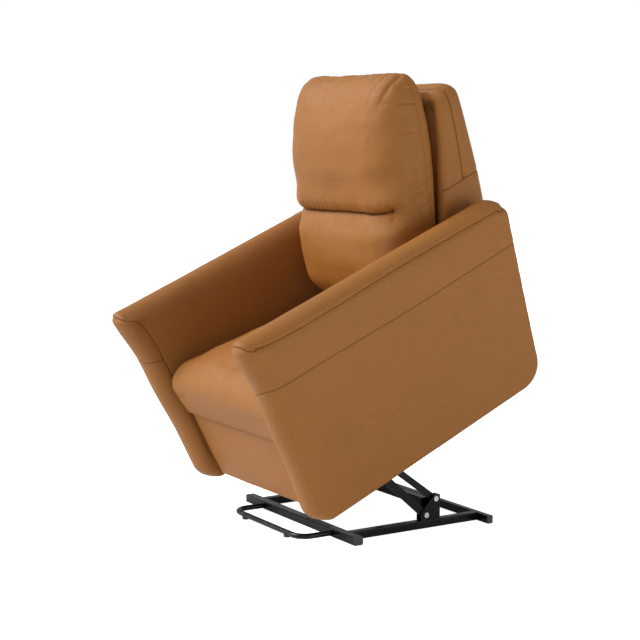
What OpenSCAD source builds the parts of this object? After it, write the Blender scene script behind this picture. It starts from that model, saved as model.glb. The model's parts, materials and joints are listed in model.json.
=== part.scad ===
// Lift recliner chair, drawn in its lifted pose.
// The base stands on z = 0 with y = 0 on the centre line of the front tube, and the chair faces -y.
// Chair pieces are drawn as they stand when the chair is down, and lifted() raises and tips them.

/* [Base frame] */
// Length of the front cross tube
front_tube_len = 614; // [560:2:680]
// How much shorter the rear cross tube is
rear_tube_short = 4; // [0:1:20]
// Depth of the front cross tube, front to back
front_tube_depth = 30; // [20:1:40]
// Depth of the rear cross tube, front to back
rear_tube_depth = 20; // [15:1:35]
// Height of every floor tube
tube_height = 24; // [20:1:30]
// Wall of the floor tubes
tube_wall = 1.5; // [1.2:0.1:3]
// Distance between the front and rear tube centre lines
base_length = 466; // [440:2:520]
// Outer width over the two side rails
rail_span = 508; // [496:1:520]
// Width of a side rail
rail_width = 25; // [20:1:27]
// Corner radius of the square tubes
tube_corner = 3; // [1:0.5:5]
// Thickness of a tube end cap's flange
cap_flange = 2; // [1:0.5:4]

/* [Anti-tip bar] */
// Diameter of the bent bar
bar_diameter = 16; // [12:1:20]
// Width of the bar between its leg centre lines
bar_width = 386; // [300:2:440]
// Reach of the bar in front of the front tube's centre line
bar_reach = 122; // [90:1:160]
// Bend radius of the bar
bar_bend = 42; // [30:1:60]
// Height of the rubber foot under the bar
bar_foot_height = 5; // [3:0.5:8]
// Diameter of the rubber foot
bar_foot_diameter = 20; // [14:1:26]

/* [Lift linkage] */
// Distance of the lower link's base pivot behind the front tube
lower_pivot_y = 271; // [262:1:280]
// Height of the lower link's base pivot
lower_pivot_z = 40; // [38:1:46]
// Distance of the upper link's base pivot behind the front tube
upper_pivot_y = 305; // [298:1:312]
// Height of the upper link's base pivot
upper_pivot_z = 85; // [80:1:92]
// Pivot to pivot length of the lower link
lower_link_len = 267; // [262:0.5:272]
// Pivot to pivot length of the upper link
upper_link_len = 273.5; // [270:0.5:277]
// Slope of the lower link when the chair is lifted
lower_link_slope = 41.2; // [40:0.1:43]
// Slope of the upper link when the chair is lifted
upper_link_slope = 36.4; // [35:0.1:38]
// Turn of the lower link from lifted to down
lift_travel = 37.5; // [36:0.5:39]
// Forward tip of the chair when lifted
chair_tip = 24.5; // [22:0.5:26]
// Thickness of a link bar
link_thick = 5; // [4:0.5:6]
// Width of a lower link bar
lower_link_width = 24; // [20:1:26]
// Width of an upper link bar
upper_link_width = 20; // [18:1:24]
// Diameter of the linkage pivot pins
pivot_pin = 10; // [8:0.5:12]
// Radial clearance of a running pivot
pivot_gap = 0.1; // [0.05:0.05:0.1]
// Radial clearance of the upper link's open pivot at the chair
open_gap = 2.4; // [2.2:0.1:3]
// Gap between neighbouring bars along a pin
side_gap = 0.5; // [0.3:0.1:1]

/* [Pivot brackets] */
// Thickness of the folded bracket plate
bracket_plate = 4; // [3:0.5:5]
// Length of the bracket's foot along the rail
bracket_foot = 66; // [60:1:72]
// Height of the bracket above the floor
bracket_top = 96; // [94:1:108]
// Size of the square tube between the brackets
cross_tube = 25; // [20:1:28]
// Height of the centre of that tube
cross_tube_z = 74; // [70:1:80]

/* [Seat box] */
// Height of the arms' lower edge above the floor when the chair is down
arm_bottom = 32; // [31:1:46]
// Clearance between a side rail and the arm beside it
arm_clearance = 6.5; // [6:0.5:20]
// Outward lean of the arms' inner faces, sideways per height
inner_lean = 0.107; // [0.08:0.001:0.13]
// Height of the wooden seat box's lower edge
box_bottom = 101; // [99:1:106]
// Height of the seat cushion's underside
deck_height = 265; // [258:1:275]
// Thickness of the wooden boards
board = 18; // [12:1:20]
// Height of the short front board under the seat springs
front_board_height = 21.5; // [14:0.5:24]
// Front end of the seat box
box_front = -176; // [-178:1:-170]
// Rear end of the seat box
box_rear = 356; // [346:1:362]
// Height of the steel seat rails
seat_rail_height = 34; // [28:1:38]
// Width of the steel seat rails
seat_rail_width = 20; // [16:1:22]
// Number of sinuous seat springs
seat_spring_count = 5; // [4:1:6]
// Wire diameter of the springs
spring_wire = 3.6; // [3:0.1:4]

/* [Arms] */
// Outer width of the chair over the arms
chair_width = 840; // [820:2:860]
// Thickness of an arm at its lower edge
arm_thick = 111; // [104:1:118]
// Height of the arm's crown at the front
arm_crown = 619; // [600:1:640]
// Fall of the arm's crown from front to rear
arm_fall = 11; // [0:1:20]
// Front end of the arms at seat height
arm_front = -268; // [-280:1:-262]
// Extra reach of the arms' front at the crown
arm_prow = 22; // [10:1:34]
// Rear end of the arms at the crown
arm_rear = 638; // [620:1:650]
// Backward lean of the arms' rear edge
arm_rear_lean = 5.5; // [3:0.5:7]
// Radius of the arm's lower front corner
arm_toe_radius = 90; // [60:1:100]
// Radius of the arm's lower rear corner
arm_heel_radius = 76; // [50:1:90]

/* [Seat cushion] */
// Front of the seat cushion
seat_front = -237; // [-242:1:-230]
// Rear of the seat cushion
seat_rear = 305; // [298:1:306]
// Height of the seat cushion's top edge behind its nose
seat_top = 425; // [415:1:435]
// Height of the seat cushion's top at its rear
seat_top_rear = 384; // [374:1:394]
// Rise of the crown in the middle of the seat
seat_crown = 16; // [8:1:24]

/* [Back] */
// Rise of the back's hinge axis over the seat cushion's underside
hinge_rise = 31; // [25:1:37]
// Distance of the back's hinge axis behind the front tube
hinge_y = 378; // [374:1:384]
// Height of the top of the back cushion
back_top = 1004; // [980:2:1020]
// Height of the crease between back and headrest
crease_z = 669; // [655:1:680]
// Depth of the crease
crease_depth = 34; // [20:1:40]
// Clearance between the back cushion's foot and an arm
back_side_gap = 17.9; // [14:0.1:32]
// Clearance between the outer back and an arm at the arm's crown
shell_gap_top = 23.3; // [17:0.1:34]
// Clearance between the outer back and an arm at the outer back's lower edge
shell_gap_bottom = 20.4; // [18:0.1:27]
// Height of the outer back's top
shell_top = 940; // [920:2:955]
// Height of the outer back's lower edge
shell_bottom = 181; // [176:1:195]
// Wall of the outer back's padded panels
shell_wall = 34; // [28:1:38]
// Diameter of the back's hinge tube
hinge_tube = 24; // [20:1:28]
// Turn of the back from upright to fully reclined
recline_travel = 38; // [30:1:40]

/* [Footrest] */
// Height of the footrest board's lower edge
footrest_bottom = 48; // [46:1:56]
// Thickness of the upholstered footrest board
footrest_thick = 34; // [28:1:35]
// Front face of the footrest board
footrest_front = -221; // [-226:1:-219]
// Gap at the sides of the footrest board
footrest_side_gap = 4; // [3:0.5:8]
// Length of the footrest's rear links
foot_link_rear = 164.8; // [160:0.2:170]
// Slope of the rear links from straight down when closed
foot_link_slope = 10.5; // [9:0.5:12]
// Depth of the torque tube's axis under the seat cushion
torque_drop = 34; // [32:1:38]
// Diameter of the footrest's torque tube
torque_tube = 22; // [18:1:26]

/* [Actuators] */
// Height of the lift actuator's pin on the base
lift_pin_z = 150; // [146:1:154]
// Radial clearance of the actuators' open rod eyes
rod_gap = 3.2; // [3:0.1:4]
// Diameter of the actuator tube
actuator_tube = 40; // [34:1:46]
// Diameter of the actuator rod
actuator_rod = 20; // [16:1:24]
// Diameter of the gear motor
motor_diameter = 50; // [44:1:54]
// Length of the gear motor
motor_length = 96; // [80:1:120]

/* [Hidden] */
$fn = 48;

LEATHER = [0.66, 0.43, 0.25];
STEEL = [0.10, 0.10, 0.11];
BOLT = [0.75, 0.75, 0.77];
WOOD = [0.76, 0.62, 0.42];
MOTOR = [0.16, 0.16, 0.17];

seat_gap = 0.3;
rear_tube_len = front_tube_len - rear_tube_short;
rear_y = base_length;
inner_half = rail_span / 2 + arm_clearance;
back_bottom = 344;
function inner_at(z) = inner_half + inner_lean * (z - arm_bottom);
back_half = inner_at(back_bottom) - back_side_gap;
shell_half_top = inner_at(arm_crown) - shell_gap_top;
shell_half_bottom = inner_at(shell_bottom) - shell_gap_bottom;
pin_r = pivot_pin / 2;

// Linkage points as [y, z]: "up" is the lifted pose and "down" the seated one.
function turn(a, p) = [p[0] * cos(a) - p[1] * sin(a), p[0] * sin(a) + p[1] * cos(a)];
lower_base = [lower_pivot_y, lower_pivot_z];
upper_base = [upper_pivot_y, upper_pivot_z];
lower_up = lower_base + lower_link_len * [-cos(lower_link_slope), sin(lower_link_slope)];
upper_up = upper_base + upper_link_len * [-cos(upper_link_slope), sin(upper_link_slope)];
lower_down = lower_base + turn(lift_travel, lower_up - lower_base);
upper_down = lower_down + turn(-chair_tip, upper_up - lower_up);

// Places across the chair, from the bracket's outer plate inwards.
bracket_out = rail_span / 2;
lower_link_x = bracket_out - bracket_plate - side_gap - link_thick;
upper_link_x = lower_link_x - 2 * side_gap - link_thick;
plate_x = upper_link_x - side_gap - link_thick;
bracket_in = bracket_out - rail_width;

// Raises a piece drawn in the seated position to the lifted pose.
module lifted() {
    translate([0, lower_up[0], lower_up[1]]) rotate([chair_tip, 0, 0])
        translate([0, -lower_down[0], -lower_down[1]]) children();
}

// Copies a piece of the +x side to side s, which is 1 or -1.
module on_side(s) {
    mirror([s < 0 ? 1 : 0, 0, 0]) children();
}

// A cylinder along x from x0 to x1 through the point p = [y, z].
module pin_x(p, r, x0, x1) {
    translate([x0, p[0], p[1]]) rotate([0, 90, 0]) cylinder(r = r, h = x1 - x0);
}

// A plate in the y-z plane between x0 and x0 + t.
module plate_yz(x0, t) {
    translate([x0, 0, 0]) rotate([90, 0, 90]) linear_extrude(t) children();
}

// Outline of a rectangle with true round corners, centred.
module round_rect(w, h, r) {
    union() {
        square([w - 2 * r, h], center = true);
        square([w, h - 2 * r], center = true);
        for (x = [-1, 1], y = [-1, 1])
            translate([x * (w / 2 - r), y * (h / 2 - r)]) circle(r, $fn = 24);
    }
}

// A square tube along x, centred at [y, z], open at both ends.
module tube_x(len, depth, height, y, z, wall = tube_wall) {
    translate([-len / 2, y, z]) rotate([90, 0, 90]) linear_extrude(len) difference() {
        round_rect(depth, height, tube_corner);
        round_rect(depth - 2 * wall, height - 2 * wall, tube_corner - 1);
    }
}

// A flat bar between p and q with a round eye and a hole at each end.
module link_bar(p, q, x0, t, w, hole_p, hole_q) {
    d = q - p;
    difference() {
        plate_yz(x0, t) union() {
            translate(p) rotate(atan2(d[1], d[0])) translate([0, -w / 2]) square([norm(d), w]);
            translate(p) circle(w / 2 + 1);
            translate(q) circle(w / 2 + 1);
        }
        pin_x(p, hole_p, x0 - 1, x0 + t + 1);
        pin_x(q, hole_q, x0 - 1, x0 + t + 1);
    }
}

// ---------------------------------------------------------------- base

module front_cross_tube() {
    color(STEEL) tube_x(front_tube_len, front_tube_depth, tube_height, 0, tube_height / 2);
}

module rear_cross_tube() {
    color(STEEL) tube_x(rear_tube_len, rear_tube_depth, tube_height, rear_y, tube_height / 2);
}

rail_front = front_tube_depth / 2;
rail_back = rear_y - rear_tube_depth / 2;

module side_rail(s) {
    color(STEEL) on_side(s) translate([bracket_out - rail_width / 2, rail_front, tube_height / 2])
        rotate([-90, 0, 0]) linear_extrude(rail_back - rail_front) difference() {
            round_rect(rail_width, tube_height, tube_corner);
            round_rect(rail_width - 2 * tube_wall, tube_height - 2 * tube_wall, tube_corner - 1);
        }
}

// A plug with a flange over the tube's end and a body that fills its mouth.
module end_cap(len, depth, y) {
    plug = 12;
    for (s = [-1, 1]) on_side(s) translate([len / 2, y, tube_height / 2]) rotate([90, 0, 90]) {
        linear_extrude(cap_flange) round_rect(depth, tube_height, tube_corner);
        translate([0, 0, -plug]) linear_extrude(plug)
            round_rect(depth - 2 * tube_wall, tube_height - 2 * tube_wall, tube_corner - 1);
    }
}

module tube_end_caps() {
    color(STEEL) {
        end_cap(front_tube_len, front_tube_depth, 0);
        end_cap(rear_tube_len, rear_tube_depth, rear_y);
    }
}

bar_z = bar_foot_height + bar_diameter / 2;

module anti_tip_bar() {
    r = bar_diameter / 2;
    leg_x = bar_width / 2;
    leg_len = bar_reach - bar_bend - front_tube_depth / 2;
    color(STEEL) union() {
        translate([-(leg_x - bar_bend), -bar_reach, bar_z]) rotate([0, 90, 0])
            cylinder(r = r, h = 2 * (leg_x - bar_bend));
        for (s = [-1, 1]) on_side(s) {
            translate([leg_x - bar_bend, -bar_reach + bar_bend, bar_z]) rotate([0, 0, -90])
                rotate_extrude(angle = 90) translate([bar_bend, 0]) circle(r);
            translate([leg_x, -bar_reach + bar_bend, bar_z]) rotate([-90, 0, 0])
                cylinder(r = r, h = leg_len);
        }
    }
}

module bar_feet() {
    foot_x = bar_width / 2 - bar_bend - 30;
    color(MOTOR) for (s = [-1, 1]) on_side(s) translate([foot_x, -bar_reach, 0]) difference() {
        cylinder(d = bar_foot_diameter, h = bar_foot_height + 2);
        translate([-bar_foot_diameter, 0, bar_z]) rotate([0, 90, 0])
            cylinder(r = bar_diameter / 2, h = 2 * bar_foot_diameter);
    }
}

bracket_rear = upper_pivot_y + 16;

// Outline of the bracket's side plates, with a hollow front edge between the two pivots.
module bracket_outline() {
    front = bracket_rear - bracket_foot;
    nose = upper_pivot_z - 3;
    difference() {
        polygon([
            [front, tube_height], [bracket_rear, tube_height], [bracket_rear, bracket_top],
            [upper_pivot_y - 6, bracket_top], [upper_pivot_y - 19, nose], [front, lower_pivot_z + 8]
        ]);
        translate([front - 5, nose - 5]) circle(24);
    }
}

module pivot_bracket(s) {
    color(STEEL) on_side(s) difference() {
        union() {
            plate_yz(bracket_out - bracket_plate, bracket_plate) bracket_outline();
            plate_yz(bracket_in, bracket_plate) bracket_outline();
            translate([bracket_in, bracket_rear - bracket_plate, tube_height])
                cube([rail_width, bracket_plate, bracket_top - tube_height]);
        }
        pin_x(lower_base, pin_r, bracket_in - 1, bracket_out + 1);
        pin_x(upper_base, pin_r, bracket_in - 1, bracket_out + 1);
    }
}

cross_tube_y = upper_pivot_y - 22;
ear_thick = 5;
ear_half = 12;
lift_pin_y = 280;
lift_pin = [lift_pin_y, lift_pin_z];

module bracket_cross_tube() {
    top = cross_tube_z + cross_tube / 2;
    color(STEEL) union() {
        tube_x(2 * bracket_in, cross_tube, cross_tube, cross_tube_y, cross_tube_z, 2);
        for (s = [-1, 1]) on_side(s) difference() {
            plate_yz(ear_half, ear_thick) union() {
                translate([cross_tube_y - 12, top]) square([24, lift_pin_z - top]);
                translate(lift_pin) circle(14);
            }
            pin_x(lift_pin, pin_r, 0, ear_half + ear_thick + 1);
        }
    }
}

// Round bolt with a domed head outside the bracket and a nut inside it.
module bolt_x(p, x_head, x_tail, head_r = 8, r = pin_r) {
    pin_x(p, r, x_tail, x_head);
    pin_x(p, head_r, x_head, x_head + 4);
    pin_x(p, head_r - 1, x_tail - 5, x_tail);
}

module base_pivot_bolts() {
    color(BOLT) for (s = [-1, 1], p = [lower_base, upper_base])
        on_side(s) bolt_x(p, bracket_out, bracket_in);
}

module lift_clevis_pin() {
    edge = ear_half + ear_thick;
    color(BOLT) union() {
        pin_x(lift_pin, pin_r, -edge, edge);
        for (s = [-1, 1]) on_side(s) pin_x(lift_pin, pin_r + 2, edge, edge + 3);
    }
}

// ---------------------------------------------------------------- lift links

module lower_link(s) {
    color(STEEL) on_side(s) link_bar(lower_base, lower_up, lower_link_x, link_thick,
        lower_link_width, pin_r + pivot_gap, pin_r + pivot_gap);
}

module upper_link(s) {
    color(STEEL) on_side(s) difference() {
        union() {
            link_bar(upper_base, upper_up, upper_link_x, link_thick, upper_link_width,
                pin_r + pivot_gap, 1);
            pin_x(upper_up, upper_link_width / 2 + 3, upper_link_x, upper_link_x + link_thick);
        }
        pin_x(upper_up, pin_r + open_gap, upper_link_x - 1, upper_link_x + link_thick + 1);
    }
}

// ---------------------------------------------------------------- seat frame, drawn seated

seat_rail_x = plate_x - seat_rail_width;
rail_top = box_bottom + seat_rail_height;

// Steel plate that hangs from the seat rail and holds both links.
module mechanism_plate(s) {
    color(STEEL) lifted() on_side(s) difference() {
        plate_yz(plate_x, link_thick) hull() {
            translate(lower_down) circle(13, $fn = 32);
            translate(upper_down) circle(13, $fn = 32);
            translate([lower_down[0] - 30, box_bottom + 4]) square([110, seat_rail_height - 8]);
        }
        pin_x(lower_down, pin_r, plate_x - 1, plate_x + link_thick + 1);
        pin_x(upper_down, pin_r, plate_x - 1, plate_x + link_thick + 1);
    }
}

module seat_rail(s) {
    len = box_rear - board - (box_front + board);
    color(STEEL) lifted() on_side(s)
        translate([seat_rail_x + seat_rail_width / 2, box_front + board, box_bottom
            + seat_rail_height / 2]) rotate([-90, 0, 0]) linear_extrude(len) difference() {
            round_rect(seat_rail_width, seat_rail_height, tube_corner);
            round_rect(seat_rail_width - 4, seat_rail_height - 4, tube_corner - 1);
        }
}

module chair_pivot_bolts() {
    color(BOLT) lifted() for (s = [-1, 1]) on_side(s) {
        bolt_x(lower_down, lower_link_x + link_thick + side_gap, plate_x, 7);
        bolt_x(upper_down, upper_link_x + link_thick + side_gap, plate_x, 8);
    }
}

lift_eye = [-12, box_bottom - 15];
motor_ear = 14;

// Two ears with a hole, standing on a cross tube at side place x.
module eye_ears(x, p, tube_edge_z) {
    lo = min(p[1], tube_edge_z);
    hi = max(p[1], tube_edge_z);
    for (s = [-1, 1]) translate([x + s * (motor_ear + ear_thick / 2) - ear_thick / 2, 0, 0])
        difference() {
            plate_yz(0, ear_thick) union() {
                translate([p[0] - 12, lo]) square([24, hi - lo]);
                translate(p) circle(12);
            }
            pin_x(p, pin_r + pivot_gap, -1, ear_thick + 1);
        }
}

cross_low_z = box_bottom + seat_rail_height / 2;

module lift_cross_tube() {
    color(STEEL) lifted() union() {
        tube_x(2 * seat_rail_x, cross_tube, cross_tube, lift_eye[0], cross_low_z, 2);
        eye_ears(0, lift_eye, cross_low_z - cross_tube / 2);
    }
}

recline_x = 50;
recline_eye = [60, deck_height - 75];

module recline_cross_tube() {
    z = rail_top + cross_tube / 2;
    len = 2 * plate_x;
    color(STEEL) lifted() union() {
        tube_x(len, cross_tube, cross_tube, recline_eye[0], z, 2);
        eye_ears(recline_x, recline_eye, z + cross_tube / 2);
    }
}

// Side board that leans with the arm and has a cleat at its foot for the steel plate.
module seat_side_board(s) {
    top = deck_height - seat_gap;
    cleat = plate_x + link_thick;
    x0 = inner_at(box_bottom) - seat_gap;
    x1 = inner_at(top) - seat_gap;
    color(WOOD) lifted() on_side(s) translate([0, box_rear, 0]) rotate([90, 0, 0])
        linear_extrude(box_rear - box_front)
            polygon([[cleat, box_bottom], [x0, box_bottom], [x1, top], [x1 - board, top],
                [inner_at(rail_top) - seat_gap - board, rail_top], [cleat, rail_top]]);
}

// Board across the box, with sloping ends that meet the side boards.
module cross_board(y, z0, z1) {
    e0 = inner_at(z0) - seat_gap - board;
    e1 = inner_at(z1) - seat_gap - board;
    translate([0, y + board, 0]) rotate([90, 0, 0]) linear_extrude(board)
        polygon([[-e0, z0], [e0, z0], [e1, z1], [-e1, z1]]);
}

// The back's hinge, and the eye of the fork that the recline rod pulls on.
function mix(a, b, f) = a + (b - a) * f;
hinge = [hinge_y, deck_height + hinge_rise];
crank_len = 70;
crank_angle = recline_travel / 2;
crank_eye = hinge + crank_len * [sin(crank_angle), -cos(crank_angle)];

spring_z = deck_height - 8;
board_top = spring_z - spring_wire / 2 - seat_gap;

module seat_front_board() {
    color(WOOD) lifted() cross_board(box_front, board_top - front_board_height, board_top);
}

// Window in the rear board, open at the top, that the recline actuator passes through.
window_clear = 13.5;
window_y = box_rear - board / 2;
window_bottom = mix(recline_eye[1], crank_eye[1], (window_y - recline_eye[0])
    / (crank_eye[0] - recline_eye[0])) - actuator_tube / 2 - window_clear;
window_half = actuator_tube / 2 + 8;

module seat_rear_board() {
    color(WOOD) lifted() difference() {
        cross_board(box_rear - board, box_bottom, board_top);
        for (s = [-1, 1]) on_side(s)
            translate([plate_x + link_thick, box_rear - board - 1, box_bottom - 1])
                cube([inner_half, board + 2, seat_rail_height + 1]);
        translate([recline_x - window_half, box_rear - board - 1, window_bottom])
            cube([2 * window_half, board + 2, deck_height]);
    }
}

// A round wire through the points pts, with n sides.
function unit(v) = v / norm(v);
function tangent(pts, i) = unit(pts[min(i + 1, len(pts) - 1)] - pts[max(i - 1, 0)]);
function ring(c, t, r, n) = let(
    side = unit(cross(t, abs(t[2]) > 0.9 ? [1, 0, 0] : [0, 0, 1])),
    up = cross(side, t)
) [for (k = [0:n - 1]) c + r * (cos(360 * k / n) * side + sin(360 * k / n) * up)];

module wire(pts, r, n = 5) {
    m = len(pts);
    points = [for (i = [0:m - 1]) each ring(pts[i], tangent(pts, i), r, n)];
    sides = [for (i = [0:m - 2], k = [0:n - 1]) let(
        a = i * n + k, b = i * n + (k + 1) % n
    ) each [[a, a + n, b], [b, a + n, b + n]]];
    ends = [for (k = [1:n - 2]) each [
        [0, k, k + 1], [(m - 1) * n, (m - 1) * n + k + 1, (m - 1) * n + k]]];
    polyhedron(points, concat(sides, ends));
}

// Sinuous spring: a flat wave of round bends along y, with an arched rise.
function wave(y0, y1, loops, half, rise) = [for (i = [0:loops * 5]) let(
    f = i / (loops * 5), a = 360 * f * loops
) [half * sin(a), y0 + (y1 - y0) * f, rise * sin(180 * f)]];

module seat_springs() {
    reach = 2 * (inner_half - 62);
    loops = 8;
    color(BOLT) lifted() for (k = [0:seat_spring_count - 1])
        translate([-reach / 2 + reach * k / (seat_spring_count - 1), 0, spring_z])
            wire(wave(box_front + 4, box_rear - 4, loops, 20, 2.5), spring_wire / 2);
}

// Power and control box on the front of the rear board, with three plain lead glands underneath.
module control_box() {
    size = [110, 40, 70];
    color(MOTOR) lifted() translate([-150, box_rear - board - size[1], box_bottom + 40]) {
        cube(size);
        for (x = [-10, size[0]]) translate([x, size[1] - 3, 14]) cube([10, 3, 42]);
        for (k = [0:2]) translate([25 + 30 * k, 18, -8]) cylinder(d = 16, h = 9);
    }
}

// ---------------------------------------------------------------- lofted soft forms

// Closed skin over rings of equal length, closed at both ends with a fan.
module loft(rings, first_mid, last_mid) {
    m = len(rings);
    n = len(rings[0]);
    points = concat([for (r = rings) each r], [first_mid, last_mid]);
    sides = [for (i = [0:m - 2], k = [0:n - 1]) let(
        a = i * n + k, b = i * n + (k + 1) % n
    ) each [[a, a + n, b], [b, a + n, b + n]]];
    caps = [for (k = [0:n - 1]) each [
        [m * n, k, (k + 1) % n], [m * n + 1, (m - 1) * n + (k + 1) % n, (m - 1) * n + k]]];
    polyhedron(points, concat(sides, caps));
}

function smooth(f) = let(g = max(0, min(1, f))) g * g * (3 - 2 * g);
function arc(c, r, a0, a1, n) = [for (i = [0:n]) let(a = a0 + (a1 - a0) * i / n)
    [c[0] + r * cos(a), c[1] + r * sin(a), a]];

// Side outline of an arm, counter-clockwise from the toe: [y, z, direction of the outward normal].
arm_top_rear = arm_crown - arm_fall;
arm_nose_radius = 35;
arm_tail_radius = 58;
arm_edge_rear = [arm_rear - arm_tail_radius, arm_top_rear - arm_tail_radius];
heel_y = arm_rear - (arm_crown - arm_bottom) * tan(arm_rear_lean) + arm_heel_radius * 0.1;
function arm_front_at(z) = arm_front - arm_prow * smooth((z - 250) / 330);
arm_outline = concat(
    arc([arm_front + arm_toe_radius, arm_bottom + arm_toe_radius], arm_toe_radius, 180, 270, 8),
    [for (f = [0.25, 0.5, 0.75]) [arm_front + arm_toe_radius + f * (heel_y - arm_heel_radius
        - arm_front - arm_toe_radius), arm_bottom, 270]],
    arc([heel_y - arm_heel_radius, arm_bottom + arm_heel_radius], arm_heel_radius,
        270, 360 - arm_rear_lean, 7),
    arc(arm_edge_rear, arm_tail_radius, -arm_rear_lean, 90, 7),
    [for (f = [0.25, 0.5, 0.75]) [arm_edge_rear[0] + f * (arm_front - arm_prow + arm_nose_radius
        - arm_edge_rear[0]), arm_top_rear + f * arm_fall, 90]],
    arc([arm_front - arm_prow + arm_nose_radius, arm_crown - arm_nose_radius], arm_nose_radius,
        90, 180, 5),
    [for (z = [arm_crown - 110, arm_crown - 190, arm_crown - 270, arm_crown - 350])
        [arm_front_at(z), z, 180 - (z > 300 ? 3 : 0)]]
);

// Radius of the arm's rolled edge: full round at the crown, smaller below.
function arm_edge(a) = let(up = (1 + sin(a)) / 2, front = (1 - cos(a)) / 2)
    18 + 30 * up * up + 14 * front * (1 - up);
arm_top_thick = chair_width / 2 - inner_at(arm_crown - 58) - 2;
function arm_half(z) = (arm_thick + (arm_top_thick - arm_thick) * (z - arm_bottom)
    / (arm_crown - arm_bottom)) / 2;
function arm_mid(z) = inner_at(z) + arm_half(z);
function arm_skin(p, side, phi) = let(
    e = arm_edge(p[2]),
    inset = e * (1 - cos(phi)),
    y = p[0] - inset * cos(p[2]),
    z = p[1] - inset * sin(p[2]),
    h = arm_half(z)
) [arm_mid(z) + side * (h - e + e * sin(phi)), y, z];

module arm(s) {
    steps = [90, 72, 54, 36, 18, 0];
    rings = concat(
        [for (phi = steps) [for (p = arm_outline) arm_skin(p, -1, phi)]],
        [for (i = [0:5]) [for (p = arm_outline) arm_skin(p, 1, steps[5 - i])]]
    );
    mid_y = (arm_front + arm_rear) / 2;
    mid_z = (arm_bottom + arm_crown) / 2;
    color(LEATHER) lifted() on_side(s) loft(rings,
        [arm_mid(mid_z) - arm_half(mid_z), mid_y, mid_z],
        [arm_mid(mid_z) + arm_half(mid_z), mid_y, mid_z]);
}

// Side outline of the seat cushion with a bull nose: [y, z, outward direction].
nose_r = 44;
seat_slope = atan2(seat_top - seat_top_rear, seat_rear - seat_front - 100);
seat_outline = concat(
    arc([seat_front + nose_r + 10, deck_height + nose_r - 8], nose_r - 8, 200, 270, 4),
    [for (f = [0.2, 0.4, 0.6, 0.8]) [seat_front + nose_r + 10 + f * (seat_rear - seat_front
        - nose_r - 30), deck_height, 270]],
    arc([seat_rear - 20, deck_height + 20], 20, 270, 360, 3),
    arc([seat_rear - 34, seat_top_rear - 34], 34, 0, 90 - seat_slope, 4),
    [for (f = [0.15, 0.3, 0.45, 0.6, 0.75, 0.9]) [seat_rear - 34 + f * (seat_front + 100
        - seat_rear + 34), seat_top_rear + f * (seat_top - seat_top_rear), 90 - seat_slope]],
    arc([seat_front + 62, seat_top - 62], 62, 88, 190, 8)
);
function seat_half(z) = inner_at(z) - 5;
function seat_skin(p, side, phi) = let(
    up = (1 + sin(p[2])) / 2,
    e = 8 + 32 * up,
    inset = e * (1 - cos(phi)),
    y = p[0] - inset * cos(p[2]),
    z = p[1] - inset * sin(p[2]),
    f = (seat_half(z) - e + e * sin(phi)) / seat_half(z)
) [side * f * seat_half(z), y, z];

// A point f of the way across the flat middle, raised by the crown.
function seat_middle(p, f) = [f * (seat_half(p[1]) - 40), p[0],
    p[1] + seat_crown * (1 - f * f) * max(0, sin(p[2]))];

module seat_cushion() {
    steps = [90, 68, 45, 22, 0];
    rings = concat(
        [for (phi = steps) [for (p = seat_outline) seat_skin(p, -1, phi)]],
        [for (f = [-0.7, -0.4, 0, 0.4, 0.7]) [for (p = seat_outline) seat_middle(p, f)]],
        [for (i = [0:4]) [for (p = seat_outline) seat_skin(p, 1, steps[4 - i])]]
    );
    mid = [(seat_front + seat_rear) / 2, (deck_height + seat_top) / 2];
    color(LEATHER) lifted() loft(rings, [-seat_half(mid[1]), mid[0], mid[1]],
        [seat_half(mid[1]), mid[0], mid[1]]);
}

// ---------------------------------------------------------------- back

hinge_plate_x = shell_half_bottom - shell_wall - 32;

module back_hinge(s) {
    color(STEEL) lifted() on_side(s) difference() {
        union() {
            plate_yz(hinge_plate_x, 6) hull() {
                translate(hinge) circle(20, $fn = 32);
                translate([box_rear, box_bottom + 60]) square([6, 88]);
            }
            translate([hinge_plate_x - 30, box_rear, box_bottom + 60]) cube([30, 6, 88]);
        }
        pin_x(hinge, hinge_tube / 2 + pivot_gap, hinge_plate_x - 40, hinge_plate_x + 10);
    }
}

frame_x = hinge_plate_x + 9.5;
frame_thick = 22;

// Tube the back turns on, with a fork near its middle that the recline rod pulls on.
module back_hinge_tube() {
    edge = frame_x + frame_thick;
    fork_x = ear_half;
    color(STEEL) lifted() difference() {
        union() {
            pin_x(hinge, hinge_tube / 2, -edge, edge);
            for (x = [recline_x - fork_x - ear_thick, recline_x + fork_x])
                plate_yz(x, ear_thick) union() {
                    translate(hinge) circle(18);
                    translate(crank_eye) circle(13);
                    translate(hinge) rotate(crank_angle - 90) translate([0, -11])
                        square([crank_len, 22]);
                }
            pin_x(crank_eye, pin_r, recline_x - fork_x - 7, recline_x + fork_x + 7);
        }
        pin_x(hinge, hinge_tube / 2 - 2, -edge - 1, edge + 1);
    }
}

// Centre curves of the back: front and rear y of the cushion, front and rear y of the outer back.
function cushion_front(z) = 308 + 57 * smooth((z - 380) / 330)
    + 118 * pow(max(0, (z - 560) / 440), 1.9) - 24 * exp(-pow((z - crease_z - 35) / 38, 2))
    + crease_depth * exp(-pow((z - crease_z) / 13, 2));
function cushion_rear(z) = 446 + 140 * smooth((z - 330) / 760);
function shell_front(z) = max(452, 500 + 105 * (z - 620) / 290);
function shell_rear(z) = 656 + 35 * (z - 574) / 304;

// Ring of a cushion level: a rounded rectangle in the x-y plane, squarer at the rear.
function level_ring(half, y0, y1, z, n) = let(c = (y0 + y1) / 2, d = (y1 - y0) / 2)
    [for (k = [0:n - 1]) let(a = 360 * k / n, ca = cos(a), sa = sin(a), power = sa > 0 ? 0.3 : 0.48)
        [half * sign(ca) * pow(abs(ca), power), c + d * sign(sa) * pow(abs(sa), power), z]];

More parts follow.
